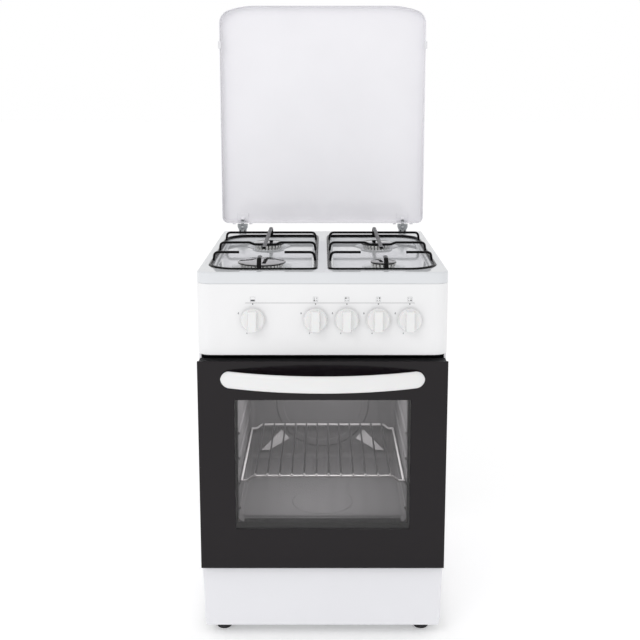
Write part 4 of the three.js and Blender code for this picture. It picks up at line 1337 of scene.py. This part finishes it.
class COOKER_OT_lid(bpy.types.Operator):
    """Make the lid with its rolled flange, its hinges and its rubber buffers"""

    bl_idname = "cooker.lid"
    bl_label = "Lid"

    def outline(self, low, high):
        """Straight in the middle of the top, then a wide arc, then the corner"""
        wide, tight, foot, straight = 190 * MM, 33 * MM, 15 * MM, 165 * MM
        lean = asin((high.x - tight - straight) / (wide - tight))
        wide_z = high.z - wide
        corner_x, corner_z = high.x - tight, wide_z + (wide - tight) * cos(lean)
        arcs = (
            (straight, wide_z, wide, pi / 2, pi / 2 - lean),
            (corner_x, corner_z, tight, pi / 2 - lean, 0),
            (high.x - foot, low.z + foot, foot, 0, -pi / 2),
        )
        points = []
        for x, z, radius, start, end in arcs:
            for step in range(0 if not points or radius == foot else 1, 11):
                turn = start + (end - start) * step / 10
                points.append((x + radius * cos(turn), z + radius * sin(turn)))
        return points + [(-x, z) for x, z in reversed(points)]

    def execute(self, context):
        low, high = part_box("lid_panel")
        bm = bmesh.new()
        bend = 4 * MM
        face = rounded_outline(bm, self.outline(low, high), high.y - bend, ())
        skirt_down(bm, face, high.y - low.y - bend)
        step_in(bm, face, round_over(bend))
        step_in(bm, face, [(0.5 * MM, 0)])
        bmesh.ops.rotate(bm, verts=bm.verts, matrix=Matrix.Rotation(-pi / 2, 3, "X"))
        bmesh.ops.scale(bm, vec=(1, 1, -1), verts=bm.verts)
        finish = lid_enamel()
        sheet = sizes().sheet
        add_piece(bm, "lid_cover", "lid", [finish], ["lid_panel"], wall=sheet)
        self.clips(finish, low)
        self.hinges()
        self.buffers()
        return {"FINISHED"}

    @staticmethod
    def clips(finish, low):
        """Small tabs under the lid's edge, on each side of a hinge"""
        bm = bmesh.new()
        for side, _ in SIDES:
            x = middle(f"lid_hinge_{side}").x
            for shift in (-21 * MM, 21 * MM):
                corner = Vector((x + shift - 4 * MM, low.y, low.z - 3.2 * MM))
                block(bm, corner, corner + Vector((8 * MM, 5 * MM, 5 * MM)), 1.2 * MM)
        add_piece(bm, "lid_clips", "lid", [finish])

    def hinges(self):
        zinc = zinc_plate()
        enamel = lid_enamel()
        for side, _ in SIDES:
            self.tongue(side, enamel, zinc)
            low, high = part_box(f"lid_hinge_post_{side}")
            centre = (low + high) / 2
            bm = bmesh.new()
            neck = mm((0, 0), (9.8, 0), (10.2, 2), (9.6, 5))
            head = mm((13.2, 12), (13.4, 18.5), (12.6, 19.8), (0, 19.8))
            turned(bm, soften(neck + head, 1.0 * MM, 3), at(centre.x, centre.y, low.z), 40)
            for way in (-1, 1):
                flat = centre.y + way * (high.y - low.y) / 2
                sliced(bm, (0, flat, 0), (0, way, 0), clear_outer=True)
            self.split_post(bm, centre, low.z)
            add_piece(bm, f"{side}_lid_post", "cabinet", [zinc], [f"lid_hinge_post_{side}"])

    @staticmethod
    def tongue(side, enamel, zinc):
        """The tongue with its pin, bent back to a narrow plate under the lid's sheet"""
        low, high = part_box(f"lid_hinge_{side}")
        pivot = low + Vector(((high.x - low.x) / 2, 6 * MM, 6 * MM))
        bm = bmesh.new()
        half = 3.5 * MM
        across = Matrix.Rotation(pi / 2, 4, "Y")
        knuckle, pin = (6 * MM, half, 0.6 * MM, 32), (2.4 * MM, 9.4 * MM, 0.5 * MM, 24)
        for radius, end, edge, steps in (knuckle, pin):
            profile = soften([(0, -end), (radius, -end), (radius, end), (0, end)], edge, 2)
            turned(bm, profile, Matrix.Translation(pivot) @ across, steps)
        corner = Vector((pivot.x - half, pivot.y - 3 * MM, pivot.z))
        block(bm, corner, corner + Vector((2 * half, 6 * MM, 20 * MM)), 0.6 * MM)
        bent = corner + Vector((0, 0, 16 * MM))
        block(bm, bent, Vector((pivot.x + half, high.y, pivot.z + 22 * MM)), 0.6 * MM)
        plate = Vector((pivot.x - 14 * MM, high.y - 1.6 * MM, pivot.z + 14 * MM))
        block(bm, plate, plate + Vector((28 * MM, 1.6 * MM, 20 * MM)), 0.7 * MM)
        for face in bm.faces:
            if face.calc_center_median().z > pivot.z + 11 * MM:
                face.material_index = 1
        node = [f"lid_hinge_{side}"]
        add_piece(bm, f"{side}_lid_tongue", "lid", [zinc, enamel], node)

    @staticmethod
    def split_post(bm, centre, base):
        """The slot for the tongue, as a fork of two cheeks over a solid foot"""
        half = 3.9 * MM
        floor = base + 5 * MM
        halves = []
        for way in (-1, 1):
            part = bm.copy()
            sliced(part, (centre.x + way * half, 0, 0), (way, 0, 0), clear_inner=True)
            halves.append(part)
        sliced(bm, (0, 0, floor), (0, 0, 1), clear_outer=True)
        for part in halves:
            mesh = bpy.data.meshes.new("cheek")
            part.to_mesh(mesh)
            part.free()
            bm.from_mesh(mesh)
            bpy.data.meshes.remove(mesh)

    @staticmethod
    def buffers():
        for side, _ in SIDES:
            dress(f"lid_buffer_{side}", moulded_rubber("pale_moulded_rubber", "#DCDCE0", "#E8E8EA"))


class COOKER_OT_body(bpy.types.Operator):
    """Make the side panels, the plinth, the back with its vents, the feet and the gas inlet"""

    bl_idname = "cooker.body"
    bl_label = "Body"

    def execute(self, context):
        self.sides()
        self.plinth()
        self.back()
        self.feet()
        self.gas()
        return {"FINISHED"}

    def sides(self):
        finish = lid_enamel()
        for side, sign in SIDES:
            low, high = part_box(f"side_panel_{side}")
            outer = low.x if sign < 0 else high.x
            bm = bmesh.new()
            turn = Matrix.Rotation(sign * pi / 2, 4, "Y")
            size = high - low
            face = rounded_plate(
                bm, (-size.z / 2, -size.y / 2), (size.z / 2, size.y / 2), 0, (3 * MM,) * 4, 4
            )
            edge = 1.6 * MM
            skirt_down(bm, face, 3 * MM)
            step_in(bm, face, round_over(edge, 4))
            step_in(bm, face, [(0.5 * MM, 0)])
            centre = Vector((outer - sign * edge, (low.y + high.y) / 2, (low.z + high.z) / 2))
            bmesh.ops.transform(bm, matrix=Matrix.Translation(centre) @ turn, verts=bm.verts)
            node = [f"side_panel_{side}"]
            add_piece(bm, f"{side}_side", "cabinet", [finish], node, wall=0.9 * MM)

    def plinth(self):
        low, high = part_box("plinth_panel")
        foot_half = high.x - 5 * MM
        bm = bmesh.new()
        corners = [(-foot_half, low.z), (foot_half, low.z), (high.x, high.z), (-high.x, high.z)]
        edge = 2.5 * MM
        face = rounded_outline(bm, corners, -low.y - edge, (4 * MM,) * 4, 4)
        skirt_down(bm, face, high.y - low.y - edge)
        step_in(bm, face, round_over(edge, 5))
        step_in(bm, face, [(0.5 * MM, 0)])
        bmesh.ops.rotate(bm, verts=bm.verts, matrix=Matrix.Rotation(pi / 2, 3, "X"))
        finish = baked_paint("plinth_stoved_paint", colours().plinth)
        sheet = sizes().sheet
        add_piece(bm, "plinth", "cabinet", [finish], ["plinth_panel"], wall=sheet)

    def back(self):
        """A zinc sheet with a pressed field, rows of louvres and screws round its edge"""
        low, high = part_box("back_panel")
        bm = bmesh.new()
        turn = Matrix.Rotation(-pi / 2, 4, "X")
        centre = (low + high) / 2
        half_x, half_z = (high.x - low.x) / 2, (high.z - low.z) / 2
        sheet = rounded_plate(bm, (-half_x, -half_z), (half_x, half_z), 0, (2 * MM,) * 4, 3)
        start, end = (-half_x + 45 * MM, -half_z + 60 * MM), (half_x - 45 * MM, half_z - 190 * MM)
        field = rounded_plate(bm, start, end, 0, (20 * MM,) * 4, 6)
        louvres = []
        half, tall = 45 * MM, 5 * MM
        for column in (-1, 1):
            for row in range(7):
                y = half_z - 150 * MM + row * 12 * MM
                x = column * 62 * MM - 30 * MM
                corners = ((x - half, y), (x + half, y + tall))
                louvres.append(rounded_plate(bm, *corners, 0, (2.4 * MM,) * 4, 4))
        inlet = middle("gas_inlet")
        hole = disc(bm, Vector((inlet.x, -(inlet.z - centre.z), 0)), 11 * MM, 32)
        cut_out(bm, sheet, [field, hole, *louvres])
        step_in(bm, field, steps_along(soften(mm((0, 0), (4, 3), (9, 3)), 2 * MM)))
        for louvre in louvres:
            step_in(bm, louvre, [(0.8 * MM, 1.2 * MM), (0.6 * MM, -1.6 * MM)])
        bmesh.ops.delete(bm, geom=[hole, *louvres], context="FACES_ONLY")
        bmesh.ops.transform(
            bm, matrix=Matrix.Translation((0, low.y + 0.8 * MM, centre.z)) @ turn, verts=bm.verts
        )
        zinc = galvanised_sheet("galvanised_sheet")
        node = ["back_panel"]
        add_piece(bm, "back_sheet", "cabinet", [zinc], node, wall=0.7 * MM)
        self.screws(low, high)
        dress("base_tray", zinc)

    @staticmethod
    def screws(low, high):
        """Pan-head screws along the back sheet's edges"""
        bm = bmesh.new()
        head = mm((0, 0), (4, 0), (3.8, 1.2), (2.4, 2.2), (0, 2.5))
        for x in (low.x + 9 * MM, high.x - 9 * MM):
            for step in range(5):
                z = low.z + 20 * MM + step * (high.z - low.z - 40 * MM) / 4
                place = at(x, high.y, z) @ Matrix.Rotation(-pi / 2, 4, "X")
                turned(bm, soften(head, 0.5 * MM, 2), place, 16)
        add_piece(bm, "back_screws", "cabinet", [zinc_plate()])

    def feet(self):
        rubber = moulded_rubber("black_moulded_rubber", "#141416", "#222225")
        for row in ("front", "rear"):
            for side, _ in SIDES:
                node = f"foot_{row}_{side}"
                low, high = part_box(node)
                centre, radius = (low + high) / 2, (high.x - low.x) / 2
                bm = bmesh.new()
                profile = [
                    (0, 0.4 * MM),
                    (radius - 3 * MM, 0),
                    (radius - 0.8 * MM, 0),
                    (radius, 1.2 * MM),
                    (radius, 10 * MM),
                    (radius - 1.5 * MM, 12 * MM),
                    (9 * MM, 13 * MM),
                    (9 * MM, high.z - low.z),
                    (0, high.z - low.z),
                ]
                turned(bm, soften(profile, 0.8 * MM, 3), at(centre.x, centre.y, low.z), 48)
                add_piece(bm, f"{row}_{side}_foot", "cabinet", [rubber], [node])

    def gas(self):
        """The inlet's hexagon and threaded tail, then the finishes of the hidden gas parts"""
        brass = machined_brass("machined_brass")
        low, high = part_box("gas_inlet")
        centre = (low + high) / 2
        bm = bmesh.new()
        back = Matrix.Rotation(-pi / 2, 4, "X")
        place = at(centre.x, low.y + 2 * MM, centre.z) @ back
        nut = bmesh.ops.create_circle(
            bm, cap_ends=True, segments=6, radius=13 * MM, matrix=place
        )["verts"]
        verts = drawn_out(bm, nut[0].link_faces[0], (0, 5.5 * MM, 0))
        bevelled(bm, edges_of([*nut, *verts]), 0.8 * MM, 2)
        thread = [(5.5 * MM, 0), (9 * MM, 0)]
        turns = 5
        reach = high.y - low.y - 0.1 * MM
        for turn in range(turns):
            start = 7.6 * MM + turn * (reach - 8 * MM) / turns
            thread += [(9.5 * MM, start), (8.8 * MM, start + 0.6 * MM)]
        thread += [(9.2 * MM, reach), (5.5 * MM, reach), (5.5 * MM, 0)]
        turned(bm, thread, at(centre.x, low.y, centre.z) @ back, 40)
        add_piece(bm, "inlet", "cabinet", [brass], ["gas_inlet"], sharp=25)
        dress("gas_manifold", zinc_plate())
        for name in TAPS:
            dress(f"gas_valve_{name}", brass)
            dress(f"spindle_{name}", brass)


class COOKER_OT_stage(bpy.types.Operator):
    """Make the floor, the soft light and the camera"""

    bl_idname = "cooker.stage"
    bl_label = "Stage"

    def execute(self, context):
        bm = bmesh.new()
        bmesh.ops.create_grid(bm, x_segments=4, y_segments=4, size=30)
        mesh = bpy.data.meshes.new("floor")
        bm.to_mesh(mesh)
        bm.free()
        mesh.materials.append(studio_floor("pale_floor"))
        floor = bpy.data.objects.new("floor", mesh)
        context.scene.collection.objects.link(floor)
        floor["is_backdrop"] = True
        world = bpy.data.worlds.new("studio")
        world.use_nodes = True
        tree = world.node_tree
        backdrop = tree.nodes["Background"]
        seen = add_node(tree, "ShaderNodeLightPath").outputs["Is Camera Ray"]
        backdrop.inputs["Color"].default_value = linear("#FFFFFF")
        reach = {"Value": seen, "To Min": 0.86, "To Max": 1.0}  # light, and what the camera sees
        spread = add_node(tree, "ShaderNodeMapRange", reach)
        tree.links.new(spread.outputs["Result"], backdrop.inputs["Strength"])
        context.scene.world = world
        context.scene.view_settings.view_transform = "Standard"
        # The key light gives the soft shadow, and the oven lamp lights the oven from its roof.
        self.lamp(context, "key", (-1.6, -2.6, 2.6), (0, 0, 0.6), size=1.6, power=16)
        low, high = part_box("oven_cavity")
        top = Vector((0, low.y + 104 * MM, high.z - 12 * MM))
        self.lamp(context, "oven_lamp", top, (0, top.y, low.z), size=0.2, power=2.4)
        self.camera(context)
        return {"FINISHED"}

    @staticmethod
    def lamp(context, name, place, target, size, power):
        light = bpy.data.lights.new(name, "AREA")
        light.size = size
        light.energy = power
        lamp = bpy.data.objects.new(name, light)
        lamp.location = place
        lamp.visible_camera = False
        lamp.visible_glossy = name == "key"
        aim = Vector(target) - Vector(place)
        lamp.rotation_euler = aim.to_track_quat("-Z", "Y").to_euler()
        context.scene.collection.objects.link(lamp)

    @staticmethod
    def camera(context):
        """Level with the lid's middle and looking a little down, with the view slid down"""
        before_panel, above_rim, down = 1.8946, 0.3594, 9.79
        data = bpy.data.cameras.new("camera")
        data.lens = 55.3
        data.sensor_width = 36
        data.shift_x = -0.0041
        data.shift_y = -0.10
        camera = bpy.data.objects.new("camera", data)
        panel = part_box("control_panel")[0]
        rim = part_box("hob_top")[1]
        camera.location = (0, panel.y - before_panel, rim.z + above_rim)
        camera.rotation_euler = (radians(90 - down), 0, 0)
        context.scene.collection.objects.link(camera)
        context.scene.camera = camera


OPERATORS = (
    COOKER_OT_stage,
    COOKER_OT_body,
    COOKER_OT_hob,
    COOKER_OT_burners,
    COOKER_OT_supports,
    COOKER_OT_panel,
    COOKER_OT_knobs,
    COOKER_OT_oven,
    COOKER_OT_door,
    COOKER_OT_lid,
)


class COOKER_PT_pieces(bpy.types.Panel):
    """The cooker's pieces, in the order in which they are made"""

    bl_idname = "COOKER_PT_pieces"
    bl_label = "Gas Cooker"
    bl_space_type = "VIEW_3D"
    bl_region_type = "UI"
    bl_category = "Cooker"

    def draw(self, context):
        for group in (context.scene.cooker_sizes, context.scene.cooker_colours):
            for name in group.__annotations__:
                self.layout.prop(group, name)
        for operator in OPERATORS:
            self.layout.operator(operator.bl_idname)


CLASSES = (CookerSizes, CookerColours, *OPERATORS, COOKER_PT_pieces)


def register():
    for each in CLASSES:
        bpy.utils.register_class(each)
    bpy.types.Scene.cooker_sizes = PointerProperty(type=CookerSizes)
    bpy.types.Scene.cooker_colours = PointerProperty(type=CookerColours)


def unregister():
    del bpy.types.Scene.cooker_colours
    del bpy.types.Scene.cooker_sizes
    for each in reversed(CLASSES):
        bpy.utils.unregister_class(each)


def main():
    register()
    bpy.ops.cooker.stage()
    bpy.ops.cooker.body()
    bpy.ops.cooker.hob()
    bpy.ops.cooker.burners()
    bpy.ops.cooker.supports()
    bpy.ops.cooker.panel()
    bpy.ops.cooker.knobs()
    bpy.ops.cooker.oven()
    bpy.ops.cooker.door()
    bpy.ops.cooker.lid()
    boxes = {"cad": cad_box, "visual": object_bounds()}
    boxes = {name: [list(corner) for corner in box] for name, box in boxes.items()}


if __name__ == "__main__":
    main()
